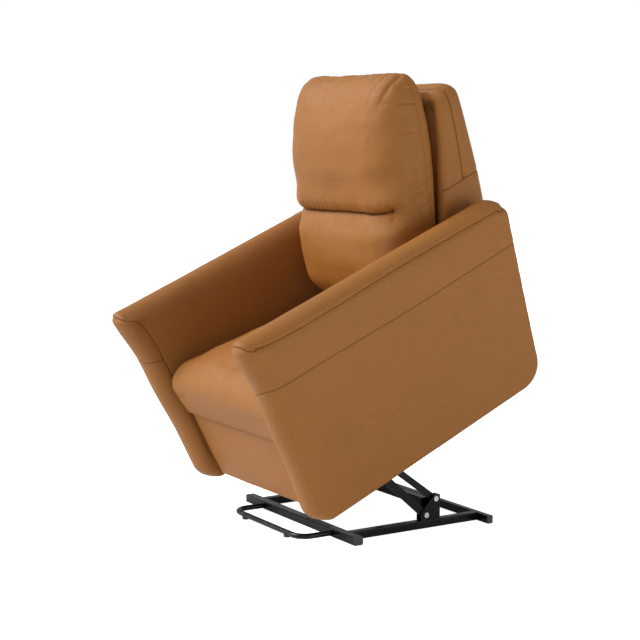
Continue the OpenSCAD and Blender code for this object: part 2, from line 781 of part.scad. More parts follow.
function back_pull(z) = 1 - 0.045 * exp(-pow((z - crease_z) / 26, 2));
back_levels = [
    [back_bottom, 0.80, 0.55], [back_bottom + 4, 0.9, 0.78], [back_bottom + 16, 0.96, 0.93],
    [back_bottom + 40, 0.99, 1], [430, 1, 1], [490, 1, 1], [550, 1, 1], [600, 1, 1], [630, 1, 1],
    [650, 1, 1], [662, 1, 1], [crease_z, 1, 1], [676, 1, 1], [688, 1, 1], [708, 1, 1],
    [740, 1, 1], [790, 1, 1], [840, 1, 1], [880, 0.99, 1], [915, 0.975, 1], [945, 0.95, 0.97],
    [970, 0.915, 0.9], [988, 0.86, 0.75], [999, 0.78, 0.52], [back_top, 0.66, 0.25]
];

module back_cushion() {
    n = 36;
    rings = [for (l = back_levels) let(
        z = l[0],
        f = cushion_front(z),
        r = cushion_rear(z),
        c = (f + r) / 2,
        d = (r - f) / 2 * l[2]
    ) level_ring(back_half * l[1] * back_pull(z), c - d, c + d, z, n)];
    last = len(back_levels) - 1;
    color(LEATHER) lifted() loft(rings,
        [0, (cushion_front(back_bottom) + cushion_rear(back_bottom)) / 2, back_bottom - 3],
        [0, (cushion_front(back_top) + cushion_rear(back_top)) / 2, back_levels[last][0] + 3]);
}

// Outer back: a padded tray open to the front, tapered in plan and rounded at its top.
function shell_half(z) = mix(shell_half_bottom, shell_half_top,
    smooth((z - shell_bottom) / (700 - shell_bottom)));
shell_levels = [
    shell_bottom, 260, 340, 420, 500, 560, 620, 680, 740, 800, 860, 895, 918, 932, shell_top
];
shell_round = 46;
function shell_shrink(z) = let(f = max(0, (z - shell_top + shell_round) / shell_round))
    shell_round * (1 - sqrt(max(0, 1 - f * f)));

function shell_ring(z, wall, lip) = let(
    s = shell_shrink(z),
    half = shell_half(z) - wall - s * 0.8,
    y0 = shell_front(z) - lip,
    y1 = shell_rear(z) - wall - s * 0.8,
    r = 26 - wall * 0.6
) concat(
    [for (a = [0, 30, 60, 90]) [half - r + r * cos(a), y1 - r + r * sin(a), z]],
    [for (a = [90, 120, 150, 180]) [-half + r + r * cos(a), y1 - r + r * sin(a), z]],
    [[-half, y0 + 6, z], [-half + 6, y0, z], [half - 6, y0, z], [half, y0 + 6, z]]
);
function ring_mid(r) = [0, (min([for (p = r) p[1]]) + max([for (p = r) p[1]])) / 2, r[0][2]];

module shell_loft(levels, wall, lip) {
    rings = [for (z = levels) shell_ring(z, wall, lip)];
    loft(rings, ring_mid(rings[0]), ring_mid(rings[len(rings) - 1]));
}

pocket_levels = [
    shell_bottom - 5, 260, 340, 420, 500, 560, 620, 680, 740, 800, 860,
    shell_top - shell_wall - 12
];

module back_shell() {
    color(LEATHER) lifted() difference() {
        shell_loft(shell_levels, 0, 0);
        shell_loft(pocket_levels, shell_wall, 60);
    }
}

// The places where the frame meets the back of the cushion and the walls of the outer back.
function frame_front(z) = seat_gap + lookup(z, [for (l = back_levels) [l[0], cushion_rear(l[0])]]);
function pocket_half(z) = lookup(z, [for (l = pocket_levels) [l, shell_half(l) - shell_wall]]);
slat_levels = [440, 570, 690, 810];
slat_height = 40;
slat_depth = 22;
post_depth = 30;

// Upright of the back's ladder frame, with the boss that turns on the hinge tube.
module back_post(s) {
    front = [300, 344, 430, 490, 550, 600, 650, 708, 740, 790, 840, 886];
    rear = concat([300], [for (z = slat_levels) each [z, z + slat_height]], [886]);
    color(WOOD) lifted() on_side(s) difference() {
        plate_yz(frame_x, frame_thick) union() {
            polygon(concat([for (z = front) [frame_front(z), z]],
                [for (i = [len(rear) - 1:-1:0]) [frame_front(rear[i]) + post_depth, rear[i]]]));
            hull() {
                translate(hinge) circle(21, $fn = 32);
                translate([frame_front(300), 300]) square([24, 36]);
            }
        }
        pin_x(hinge, hinge_tube / 2, frame_x - 1, frame_x + frame_thick + 1);
    }
}

// Slats screwed behind the uprights. They end at the walls of the outer back and carry it.
module back_frame() {
    color(WOOD) lifted() for (z = slat_levels) slat(z, z + slat_height);
}

module slat(z0, z1) {
    y0 = frame_front(z0) + post_depth;
    y1 = frame_front(z1) + post_depth;
    h0 = pocket_half(z0) - seat_gap;
    h1 = pocket_half(z1) - seat_gap;
    intersection() {
        plate_yz(-h1 - 5, 2 * h1 + 10)
            polygon([[y0, z0], [y1, z1], [y1 + slat_depth, z1], [y0 + slat_depth, z0]]);
        translate([0, 700, 0]) rotate([90, 0, 0]) linear_extrude(400)
            polygon([[-h0, z0], [h0, z0], [h1, z1], [-h1, z1]]);
    }
}

module back_springs() {
    reach = frame_x - seat_gap;
    color(BOLT) lifted() for (z = [525, 650, 770])
        wire([for (p = wave(-reach, reach, 6, 18, 0)) [p[1],
            cushion_rear(z + p[0]) + seat_gap + spring_wire / 2, z + p[0]]], spring_wire / 2);
}

// ---------------------------------------------------------------- footrest, drawn closed and seated

footrest_back = footrest_front + footrest_thick;
torque_axis = [box_front + 84, deck_height - torque_drop];
foot_mount_x = seat_rail_x - link_thick;
foot_knee = torque_axis + foot_link_rear * [sin(foot_link_slope), -cos(foot_link_slope)];
foot_eye = [footrest_back + 13, torque_axis[1] - 35];
foot_link_x = foot_mount_x - 7 - link_thick;
foot_boss = torque_tube / 2 + 6;

// Steel plate on the seat rail that carries one end of the torque tube.
module footrest_mount(s) {
    color(STEEL) lifted() on_side(s) difference() {
        plate_yz(foot_mount_x, link_thick) union() {
            translate([torque_axis[0] - 34, box_bottom + 4]) square([92, seat_rail_height - 8]);
            translate([torque_axis[0] - 16, box_bottom + 4])
                square([32, torque_axis[1] - box_bottom - 4]);
            translate(torque_axis) circle(16);
        }
        pin_x(torque_axis, torque_tube / 2 + pivot_gap, foot_mount_x - 1, seat_rail_x + 1);
    }
}

module footrest_torque_tube() {
    end = seat_rail_x;
    color(STEEL) lifted() difference() {
        pin_x(torque_axis, torque_tube / 2, -end, end);
        pin_x(torque_axis, torque_tube / 2 - 2, -end - 1, end + 1);
    }
}

module footrest_rear_link(s) {
    inner = torque_tube / 2;
    color(STEEL) lifted() on_side(s) difference() {
        union() {
            link_bar(torque_axis, foot_knee, foot_link_x, link_thick, 22, 1, pin_r + pivot_gap);
            pin_x(torque_axis, foot_boss, foot_link_x, foot_link_x + link_thick);
        }
        pin_x(torque_axis, inner, foot_link_x - 1, foot_link_x + link_thick + 1);
    }
}

front_link_x = foot_link_x - link_thick - side_gap;

module footrest_front_link(s) {
    color(STEEL) lifted() on_side(s) link_bar(foot_knee, foot_eye, front_link_x, link_thick, 20,
        pin_r + pivot_gap, pin_r + pivot_gap);
}

// Knee pins, fixed in the rear links and turning in the front links.
module footrest_knee_pins() {
    color(BOLT) lifted() for (s = [-1, 1]) on_side(s) {
        bolt_x(foot_knee, foot_link_x + link_thick + side_gap, front_link_x - side_gap, 7);
    }
}

bracket_x = front_link_x - side_gap - 4;

// Angle on the board's back with an ear and a fixed pin for the front link.
module footrest_bracket() {
    color(STEEL) lifted() for (s = [-1, 1]) on_side(s) union() {
        plate_yz(bracket_x, 4) intersection() {
            hull() {
                translate([footrest_back, foot_eye[1] - 22]) square([3, 44]);
                translate(foot_eye) circle(9, $fn = 32);
            }
            translate([footrest_back, foot_eye[1] - 30]) square([60, 60]);
        }
        translate([bracket_x - 26, footrest_back, foot_eye[1] - 22]) cube([30, 3, 44]);
        pin_x(foot_eye, pin_r, bracket_x, front_link_x + link_thick + side_gap);
        pin_x(foot_eye, 8, front_link_x + link_thick + side_gap,
            front_link_x + link_thick + side_gap + 3);
    }
}

module footrest_board() {
    z1 = deck_height - 3;
    e0 = inner_at(footrest_bottom) - footrest_side_gap;
    e1 = inner_at(z1) - footrest_side_gap;
    color(LEATHER) lifted() translate([0, footrest_front + footrest_thick, 0]) rotate([90, 0, 0])
        linear_extrude(footrest_thick)
            polygon([[-e0, footrest_bottom], [e0, footrest_bottom], [e1, z1], [-e1, z1]]);
}

// ---------------------------------------------------------------- actuators

// Points and angles of the two actuators as they lie in the seated frame.
function to_chair(p) = lower_down + turn(-chair_tip, p - lower_up);
lift_line = to_chair(lift_pin) - lift_eye;
recline_line = crank_eye - recline_eye;
lift_slope = atan2(lift_line[1], lift_line[0]);
recline_slope = atan2(recline_line[1], recline_line[0]);

housing_start = 24;
housing_end = 76;
housing_half = 26;

// Places a piece drawn along y from an actuator's motor end at the side place x.
module along(x, eye, slope) {
    color(MOTOR) lifted() translate([x, eye[0], eye[1]]) rotate([slope, 0, 0]) children();
}

// Motor end of an actuator: eye and pin, gear housing and the gear motor at its side s.
module actuator_motor(s) {
    motor_x = actuator_tube / 2 + motor_diameter / 2 + 5;
    pin_x([0, 0], pin_r, -motor_ear - 6, motor_ear + 6);
    pin_x([0, 0], 12, -motor_ear + side_gap, motor_ear - side_gap);
    translate([-10, 0, -9]) cube([20, housing_start + 1, 18]);
    on_side(s) translate([motor_x / 2, housing_start, 0]) rotate([-90, 0, 0])
        linear_extrude(housing_end - housing_start)
            round_rect(2 * housing_half + motor_x, 2 * housing_half, 12);
    on_side(s) translate([motor_x, housing_end - 1, 0]) rotate([-90, 0, 0])
        cylinder(d = motor_diameter, h = motor_length - 30);
    on_side(s) translate([motor_x, housing_end + motor_length - 31, 0]) rotate([-90, 0, 0])
        cylinder(d1 = motor_diameter, d2 = motor_diameter - 8, h = 4);
}

// Outer tube of an actuator from its housing to the place end, with a collar round the rod.
module actuator_sleeve(end) {
    difference() {
        union() {
            translate([0, housing_end, 0]) rotate([-90, 0, 0])
                cylinder(d = actuator_tube, h = end - housing_end);
            translate([0, end - 12, 0]) rotate([-90, 0, 0])
                cylinder(d = actuator_tube + 5, h = 12);
        }
        translate([0, housing_end - 1, 0]) rotate([-90, 0, 0])
            cylinder(d = actuator_rod + 0.6, h = end);
    }
}

// Rod of an actuator from the place start to its eye at the place reach.
module actuator_piston(start, reach) {
    difference() {
        union() {
            translate([0, start, 0]) rotate([-90, 0, 0])
                cylinder(d = actuator_rod, h = reach - start - 8);
            pin_x([reach, 0], 13, -ear_half + side_gap, ear_half - side_gap);
        }
        pin_x([reach, 0], pin_r + rod_gap, -ear_half, ear_half);
    }
}

lift_sleeve_end = norm(lift_line) - 30;
recline_sleeve_end = norm(recline_line) - 67;

module lift_motor() {
    along(0, lift_eye, lift_slope) actuator_motor(-1);
}

module lift_actuator_tube() {
    along(0, lift_eye, lift_slope) actuator_sleeve(lift_sleeve_end);
}

module lift_actuator_rod() {
    along(0, lift_eye, lift_slope) actuator_piston(housing_end + 12, norm(lift_line));
}

module recline_motor() {
    along(recline_x, recline_eye, recline_slope) actuator_motor(1);
}

module recline_actuator_tube() {
    along(recline_x, recline_eye, recline_slope) actuator_sleeve(recline_sleeve_end);
}

module recline_actuator_rod() {
    along(recline_x, recline_eye, recline_slope)
        actuator_piston(housing_end + 60, norm(recline_line));
}

front_cross_tube();
rear_cross_tube();
side_rail(1);  // side_rail_left
side_rail(-1);  // side_rail_right
tube_end_caps();
anti_tip_bar();
bar_feet();
pivot_bracket(1);  // pivot_bracket_left
pivot_bracket(-1);  // pivot_bracket_right
bracket_cross_tube();
base_pivot_bolts();
lift_clevis_pin();
lower_link(1);  // lower_link_left
lower_link(-1);  // lower_link_right
upper_link(1);  // upper_link_left
upper_link(-1);  // upper_link_right
mechanism_plate(1);  // mechanism_plate_left
mechanism_plate(-1);  // mechanism_plate_right
seat_rail(1);  // seat_rail_left
seat_rail(-1);  // seat_rail_right
chair_pivot_bolts();
lift_cross_tube();
recline_cross_tube();
seat_side_board(1);  // seat_side_board_left
seat_side_board(-1);  // seat_side_board_right
seat_front_board();
seat_rear_board();
seat_springs();
control_box();
arm(1);  // arm_left
arm(-1);  // arm_right
seat_cushion();
back_hinge(1);  // back_hinge_left
back_hinge(-1);  // back_hinge_right
back_hinge_tube();
back_post(1);  // back_post_left
back_post(-1);  // back_post_right
back_frame();
back_springs();
back_shell();
back_cushion();
footrest_mount(1);  // footrest_mount_left
footrest_mount(-1);  // footrest_mount_right
footrest_torque_tube();
footrest_rear_link(1);  // footrest_rear_link_left
footrest_rear_link(-1);  // footrest_rear_link_right
footrest_front_link(1);  // footrest_front_link_left
footrest_front_link(-1);  // footrest_front_link_right
footrest_knee_pins();
footrest_bracket();
footrest_board();
lift_motor();
lift_actuator_tube();
lift_actuator_rod();
recline_motor();
recline_actuator_tube();
recline_actuator_rod();
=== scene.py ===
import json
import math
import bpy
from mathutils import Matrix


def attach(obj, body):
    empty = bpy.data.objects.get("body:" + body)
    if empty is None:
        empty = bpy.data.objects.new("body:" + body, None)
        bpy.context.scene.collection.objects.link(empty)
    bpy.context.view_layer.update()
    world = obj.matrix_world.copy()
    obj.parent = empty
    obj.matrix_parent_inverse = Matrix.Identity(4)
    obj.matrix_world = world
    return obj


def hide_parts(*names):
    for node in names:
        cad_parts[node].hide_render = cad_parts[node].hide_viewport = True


bl_info = {
    "name": "Lift Recliner Chair",
    "version": (1, 0, 0),
    "blender": (4, 5, 0),
    "location": "View3D > Sidebar > Recliner",
    "description": "Builds the upholstery, finishes and stage of a lift recliner chair round its frame",
    "category": "Object",
}

import bmesh
import bpy
import numpy as np
from bpy.props import FloatProperty, FloatVectorProperty, IntProperty, PointerProperty
from mathutils import Euler, Matrix, Vector
from mathutils.bvhtree import BVHTree
from mathutils.kdtree import KDTree

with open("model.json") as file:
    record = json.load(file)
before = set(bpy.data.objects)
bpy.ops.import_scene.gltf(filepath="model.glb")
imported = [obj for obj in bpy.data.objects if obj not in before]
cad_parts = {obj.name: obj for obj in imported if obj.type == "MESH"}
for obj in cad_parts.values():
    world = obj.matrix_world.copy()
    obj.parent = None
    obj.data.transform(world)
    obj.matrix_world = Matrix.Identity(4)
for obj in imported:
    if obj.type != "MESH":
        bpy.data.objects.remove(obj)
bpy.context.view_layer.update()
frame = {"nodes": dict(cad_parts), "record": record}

# Soft pieces are made as the chair stands when it is down. The lift carries the upper pins of the lower links
# from one place to the other, in metres, and tips the chair about them.
PIN_DOWN = Vector((0, 0.004557, 0.057230))
PIN_LIFTED = Vector((0, 0.070105, 0.215870))
TIP = math.radians(24.5)
LIFTED = Matrix.Translation(PIN_LIFTED) @ Matrix.Rotation(TIP, 4, "X") @ Matrix.Translation(-PIN_DOWN)
MM = 0.001


# ---------------------------------------------------------------- sizes and colours


def length(name, about, mm, low=0.0, high=100.0):
    """A size in millimetres that is shown in scene units."""
    return FloatProperty(
        name=name,
        description=about,
        default=mm * MM,
        min=low * MM,
        max=high * MM,
        unit="LENGTH",
        precision=4,
    )


def colour(name, about, value):
    return FloatVectorProperty(
        name=name, description=about, default=value, min=0, max=1, size=3, subtype="COLOR"
    )


def strength(name, about, value):
    return FloatProperty(name=name, description=about, default=value, min=0)


class LeatherSettings(bpy.types.PropertyGroup):
    base: colour("Leather", "Main colour of the leather", (0.378, 0.146, 0.024))
    worn: colour("Pulled leather", "Paler colour where the leather is stretched", (0.450, 0.185, 0.040))
    # the deep colour is also used for painted shade beside the seams, in the crease, in the outer back's
    # pocket and rim, and on the back lining
    deep: colour("Deep leather", "Darker colour in seams, folds and mottling", (0.085, 0.025, 0.004))
    grain: length("Grain size", "Size of one pebble of the grain", 3.0, 0.5, 6)
    seam_depth: length("Seam depth", "How far a stitched seam draws the leather in", 1.8, 0, 6)
    seam_width: length("Seam width", "Width of the hollow beside a seam", 5.0, 1, 20)
    stitch_pitch: length("Stitch pitch", "Distance from one stitch to the next", 6.5, 3, 20)
    stitch_length: length("Stitch length", "Length of one stitch", 4.2, 1, 15)
    stitch_width: length("Thread width", "Thickness of the sewing thread", 0.9, 0.3, 3)


class PaddingSettings(bpy.types.PropertyGroup):
    voxel: length("Mesh size", "Size of the even mesh that padded pieces start from", 6, 3, 12)
    cap: length("Swell limit", "Most that a cushion may swell from its cut shape", 24, 5, 40)
    pressure: FloatProperty(
        name="Filling pressure", description="Pressure of the filling in the cushions",
        default=4.0, min=0, max=20,
    )
    frames: IntProperty(
        name="Settling frames", description="Frames that the filling settles over",
        default=20, min=5, max=60,
    )


class FinishSettings(bpy.types.PropertyGroup):
    steel: colour("Frame paint", "Colour of the painted steel", (0.006, 0.006, 0.0065))
    zinc: colour("Bolts", "Colour of the zinc plated bolts", (0.62, 0.63, 0.64))
    spring: colour("Springs", "Colour of the spring wire", (0.30, 0.30, 0.31))
    wood: colour("Boards", "Colour of the boards", (0.50, 0.34, 0.19))
    plastic: colour("Plastic", "Colour of the plastic housings and caps", (0.018, 0.018, 0.020))
    chrome: colour("Rods", "Colour of the polished rods", (0.70, 0.70, 0.72))
    rubber: colour("Feet", "Colour of the rubber feet", (0.02, 0.02, 0.02))


class StageSettings(bpy.types.PropertyGroup):
    floor: colour("Floor", "Colour of the floor", (0.78, 0.78, 0.78))
    key: strength("Main light", "Strength of the main light", 3.8)
    side: strength("Side light", "Power of the light beside the arm", 43.0)
    sky: strength("Room light", "Strength of the light from all round", 0.40)


def settings(name):
    return getattr(bpy.context.scene, "recliner_" + name)


# ---------------------------------------------------------------- forms, in millimetres with the chair down


def smooth(f):
    g = np.clip(f, 0, 1)
    return g * g * (3 - 2 * g)


def bell(d, width):
    return np.exp(-((d / width) ** 2))


def spaced(points, pitch):
    """The same path with a point about every pitch."""
    p = np.asarray(points, float)
    run = np.r_[0, np.cumsum(np.linalg.norm(np.diff(p, axis=0), axis=1))]
    at = np.linspace(0, run[-1], max(2, int(round(run[-1] / pitch)) + 1))
    return np.stack([np.interp(at, run, p[:, k]) for k in range(p.shape[1])], axis=1)


def rounded(points, pitch, rounds=6):
    """A path through the points with its corners eased."""
    p = spaced(points, pitch)
    for _ in range(rounds):
        p[1:-1] = 0.5 * p[1:-1] + 0.25 * (p[:-2] + p[2:])
    return p


def arc(centre, radius, first, last, n):
    """Points of an arc as two coordinates and the direction in which the outline faces there, in degrees."""
    a = np.linspace(first, last, n + 1)
    t = np.radians(a)
    return np.c_[centre[0] + radius * np.cos(t), centre[1] + radius * np.sin(t), a]


def straight(p, q, direction, n):
    """Points between the ends of a straight stretch, in the form that arc gives."""
    f = (np.arange(n) + 1) / (n + 1)
    return np.c_[p[0] + f * (q[0] - p[0]), p[1] + f * (q[1] - p[1]), np.full(n, float(direction))]


# The arms' inner sides are this far from the middle at a low height, and lean outwards above it
INNER, INNER_HEIGHT, INNER_LEAN = 262, 46, 0.107


def inner_at(z):
    """How far the inner sides of the arms are from the middle, at a height."""
    return INNER + INNER_LEAN * (z - INNER_HEIGHT)


# Arm: a slab whose side outline is walked round once, with a rolled edge. The first line holds its heights
# and its front and rear, the second the radii of its corners and of its full front.
ARM_BOTTOM, ARM_CROWN, ARM_FALL, ARM_FRONT, ARM_PROW, ARM_REAR, ARM_LEAN = 32, 619, 11, -264, 32, 628, 4.6
TOE, HEEL, NOSE, TAIL, BULLNOSE = 50, 76, 26, 58, 38
ARM_FOOT, ARM_OUTSIDE = 111, 418  # thickness at the bottom, and how far out the outer side is near the crown
ARM_TOP_REAR = ARM_CROWN - ARM_FALL
HEEL_Y = ARM_REAR - (ARM_CROWN - ARM_BOTTOM) * math.tan(math.radians(ARM_LEAN)) + HEEL * 0.1

# Seams of the arm along its outer side and its inner side as y and z, and round its front as angle and height
ROLL_SEAM = [
    (-300, 614), (-285, 608), (-272, 601), (-258, 595), (-235, 588.5), (-201, 584), (-116, 580.5), (17, 579),
    (185, 582), (283, 582), (405, 579), (491, 577), (600, 576), (680, 576),
]
BAND_SEAM = [
    (-236, 465), (-193, 463), (-162, 464), (-28, 462), (150, 459), (297, 458), (420, 461), (559, 461.5),
    (602, 463), (640, 463),
]
INNER_SEAM = [
    (-251, 588), (-240, 574), (-232, 550), (-227, 517), (-223, 482), (-223, 441), (-222, 400), (-220, 280),
    (-222, 110),
]
BAND_INSIDE = [(-236, 444), (-232, 444), (-228, 444), (-225, 444)]
ROLL_ROUND_FRONT = [
    (0, 595), (22, 600), (42, 607), (63, 613), (90, 614.5), (120, 613), (141, 607), (163, 599), (180, 590),
]
BAND_ROUND_FRONT = [(0, 465), (30, 467.5), (60, 466), (90, 458), (120, 450), (150, 447), (180, 445)]
ROLL_REAR, BAND_REAR = 576, 463  # heights of the roll's and the band's seams at the rear
UNDER_SEAM = 55  # from the arm's inner side


def arm_front_at(z):
    """The arm's front, which leans forward a little above the toe and more below the prow."""
    low = 10
    return ARM_FRONT - low * smooth((z - 180) / 200) - (ARM_PROW - low) * smooth((z - 440) / 170)


def arm_outline():
    """The arm from the side: y, z and the direction that the rim faces, from the toe round to the prow."""
    tail = (ARM_REAR - TAIL, ARM_TOP_REAR - TAIL)
    tip = (ARM_FRONT - ARM_PROW + NOSE, ARM_CROWN - NOSE)
    front = np.linspace(ARM_CROWN - 60, ARM_BOTTOM + TOE + 20, 34)
    return np.concatenate([
        arc((ARM_FRONT + TOE, ARM_BOTTOM + TOE), TOE, 180, 270, 22),
        straight((ARM_FRONT + TOE, ARM_BOTTOM), (HEEL_Y - HEEL, ARM_BOTTOM), 270, 60),
        arc((HEEL_Y - HEEL, ARM_BOTTOM + HEEL), HEEL, 270, 360 - ARM_LEAN, 18),
        straight((HEEL_Y, ARM_BOTTOM + HEEL), (ARM_REAR, tail[1]), 360 - ARM_LEAN, 40),
        arc(tail, TAIL, -ARM_LEAN, 90, 16),
        straight((tail[0], ARM_TOP_REAR), (tip[0], ARM_CROWN), 90, 70),
        arc(tip, NOSE, 90, 178, 12),
        np.c_[arm_front_at(front), front, 180 - 3 * smooth((front - 200) / 150)],
    ])


def arm_edge(a, half):
    """How far the edge's rounding reaches in from the rim, and how far across the arm."""
    edge = 12 + 36 * smooth(np.sin(np.radians(a)))
    deep = 12 + 48 * smooth(np.sin(np.radians(a)))
    front = smooth(-1.25 * np.cos(np.radians(a)))
    return deep + (BULLNOSE - deep) * front, edge + (0.98 * half - edge) * front


def arm_half(z):
    """Half the arm's thickness at a height."""
    top = ARM_OUTSIDE - inner_at(ARM_CROWN - TAIL)
    return (ARM_FOOT + (top - ARM_FOOT) * (z - ARM_BOTTOM) / (ARM_CROWN - ARM_BOTTOM)) / 2


def arm_skin(outline, side, phi):
    """Ring of the arm's skin: phi is 0 on the middle of the rim and 90 where the flat side begins."""
    a = np.radians(outline[:, 2])
    e, across = arm_edge(outline[:, 2], arm_half(outline[:, 1]))
    inset = e * (1 - math.cos(math.radians(phi)))
    y = outline[:, 0] - inset * np.cos(a)
    z = outline[:, 1] - inset * np.sin(a)
    h = arm_half(z)
    e = np.minimum(across, h)
    return np.c_[inner_at(z) + h + side * (h - e + e * math.sin(math.radians(phi))), y, z]


def round_front(levels):
    """A path round the arm's front from its outer to its inner side, at heights given as angle and height."""
    turn = np.arange(0, 181, 6)
    z = np.interp(turn, [a for a, _ in levels], [z for _, z in levels])
    t, h = np.radians(turn), arm_half(z)
    return np.c_[inner_at(z) + h + h * np.cos(t), arm_front_at(z) + BULLNOSE * (1 - np.sin(t)), z]


def roll_seam_z(y):
    """Height of the seam below the arm's roll."""
    return np.interp(y, *np.array(ROLL_SEAM, float).T)


# Seat cushion: its outline from the side, and the radii of its rolled front, of the edge below that, and of
# its lower and upper rear edges
SEAT_FRONT, SEAT_REAR, SEAT_TOP, SEAT_TOP_REAR, DECK = -248, 305, 425, 384, 265
SEAT_ROLL, SEAT_CHIN, SEAT_HEEL, SEAT_REST = 64, 13, 20, 34
SEAT_ROOM = 5  # between the cushion as cut and each arm
# Folds as x and y of the start, and how far they run; then folds of the front as x and z of the start
SEAT_FOLDS = (
    (-262, -96, 88, 26), (-262, 20, 96, -16), (262, -70, -92, 20), (262, 62, -84, -22), (-262, 130, 70, 12),
    (262, 160, -66, 8), (-40, 296, 12, -90), (110, 296, -14, -78),
)
SEAT_FRONT_FOLDS = ((-262, 330), (262, 330))


def seat_outline():
    """The seat cushion from the side, in the form that arc gives."""
    slope = math.degrees(math.atan2(SEAT_TOP - SEAT_TOP_REAR, SEAT_REAR - SEAT_REST - SEAT_FRONT - SEAT_ROLL))
    chin = SEAT_FRONT + 24
    return np.concatenate([
        arc((chin, DECK + SEAT_CHIN), SEAT_CHIN, 192, 270, 6),
        straight((chin, DECK), (SEAT_REAR - SEAT_HEEL, DECK), 270, 44),
        arc((SEAT_REAR - SEAT_HEEL, DECK + SEAT_HEEL), SEAT_HEEL, 270, 360, 6),
        arc((SEAT_REAR - SEAT_REST, SEAT_TOP_REAR - SEAT_REST), SEAT_REST, 0, 90 - slope, 8),
        straight((SEAT_REAR - SEAT_REST, SEAT_TOP_REAR), (SEAT_FRONT + SEAT_ROLL, SEAT_TOP), 90 - slope, 44),
        arc((SEAT_FRONT + SEAT_ROLL, SEAT_TOP - SEAT_ROLL), SEAT_ROLL, 88, 186, 20),
    ])


def seat_skin(outline, side, phi):
    """Ring of the cushion's skin at one side, with phi as for the arm."""
    a = np.radians(outline[:, 2])
    e = 8 + 32 * (1 + np.sin(a)) / 2
    inset = e * (1 - math.cos(math.radians(phi)))
    y = outline[:, 0] - inset * np.cos(a)
    z = outline[:, 1] - inset * np.sin(a)
    return np.c_[side * (inner_at(z) - SEAT_ROOM - e + e * math.sin(math.radians(phi))), y, z]


# Back cushion: its heights, half width and corner radii, and how its width and depth narrow towards both ends
CREASE, BACK_TOP, BACK_BOTTOM, BACK_HALF, BACK_CORNER, BACK_CHEEK = 669, 1018, 344, 276, 14, 80
BACK_TAPER = np.array([
    (BACK_BOTTOM, 0.80, 0.55), (348, 0.9, 0.78), (360, 0.96, 0.93), (384, 0.99, 1), (430, 1, 1), (840, 1, 1),
    (880, 0.99, 1), (922, 0.98, 1), (956, 0.955, 0.98), (980, 0.925, 0.92), (1002, 0.875, 0.78),
    (1013, 0.80, 0.55), (BACK_TOP, 0.67, 0.27),
])
CREASE_HALF = 243  # half the length of the crease
# Small folds that run out from both ends of the crease: how far outwards and up, and their depth
CREASE_TUCKS = ((28, 6, 4.0), (22, -14, 3.4), (4, 36, 3.6), (-10, 26, 2.4), (6, -32, 3.0), (30, 22, 2.4))
# Gathers below the top seam: x of the start, how far the end is across, height of the end, depth and width
TOP_GATHERS = (
    (243, -20, 926, 4.6, 6.5), (206, -20, 950, 2.0, 6), (172, -16, 944, 1.8, 7), (104, -14, 958, 1.8, 7),
    (58, -14, 966, 1.0, 6), (30, -14, 956, 1.4, 7), (-62, -12, 958, 1.8, 8), (-113, -16, 948, 1.4, 7),
    (-186, 4, 956, 1.0, 7), (-222, 10, 950, 1.4, 7), (-246, 14, 934, 2.6, 7),
)
# Folds of both sides: y and z of the start, how far they run forward and up, and their depth
SIDE_FOLDS = (
    (548, 924, -104, 46, 3.4), (530, 846, -88, 38, 1.8), (508, 742, -60, 22, 1.4), (496, 700, -52, 14, 2.4),
    (492, 682, -70, 2, 2.6), (486, 650, -56, -8, 2.0), (470, 560, -50, -12, 1.4), (556, 966, -74, 20, 2.2),
)

# Outer back: its heights, the rounding of its top and the thickness of its padding
SHELL_TOP, SHELL_BOTTOM, SHELL_ROUND, SHELL_WALL, SHELL_CORNER = 933, 181, 46, 34, 34
SHELL_SIDE_SEAM = [(596, 668), (617, 752), (628, 810), (639, 881), (644, 916)]
SHELL_BAND = 667  # height of the seam across the rear

# Footrest panel: its heights, its front and rear, and the radii of its front and rear edges
PANEL_LOW, PANEL_HIGH, PANEL_FRONT, PANEL_REAR = 48.0, 263.0, -221.0, -187.0
PANEL_EDGE, PANEL_REAR_EDGE = 6.0, 5


def cushion_front(z):
    """The back cushion's front, with its hollow at the crease and its swelling below and above."""
    lean = 308 + 57 * smooth((z - 380) / 330) + 118 * np.maximum(0, (z - 560) / 440) ** 1.9
    free = smooth((z - 386) / 80)
    lower = 28 * smooth((CREASE - z) / 60) * (1 - 0.35 * smooth((CREASE - 60 - z) / 250))
    return lean - (14 + lower) * free - 21 * bell(z - CREASE - 27, 36) - 10 * bell(z - 800, 90)


def cushion_rear(z):
    """The back cushion's rear, which lies along the springs."""
    return 446 + 140 * smooth((z - 330) / 760)


CREASE_FRONT = float(cushion_front(CREASE))


def shell_half(z):
    """Half the width of the outer back."""
    return 256 + 44 * smooth((z - SHELL_BOTTOM) / (700 - SHELL_BOTTOM))


def shell_front(z):
    """The rim of the outer back, upright at first and then parallel to the lean of the back."""
    return np.maximum(452, 500 + 105 * (z - 620) / 290)


def shell_rear(z):
    return 656 + 35 * (z - 574) / 304


def shell_room(z, most):
    """How far a side of the cushion may reach back past its rear, up to 1 mm before the outer back's rim."""
    return np.clip(shell_front(z) - 1 - cushion_rear(z), 0, most)


# ---------------------------------------------------------------- mesh tools

UP, DOWN, FORWARD = (0, 0, 1), (0, 0, -1), (0, -1, 0)
FAR = 1600.0  # past the chair from its middle
SEAM_REACH = 16.0  # how far from a seam the leather still feels it
SWELL_SHARE, CREASE_SHARE = 0.6, 0.18  # how much of the filling's swelling and of its small creases is kept


def add_object(name, points, faces):
    """A new object from points in millimetres."""
    mesh = bpy.data.meshes.new(name)
    mesh.from_pydata((np.asarray(points, float) * MM).tolist(), [], [list(map(int, f)) for f in faces])
    mesh.update()
    piece = bpy.data.objects.new(name, mesh)
    bpy.context.scene.collection.objects.link(piece)
    return piece


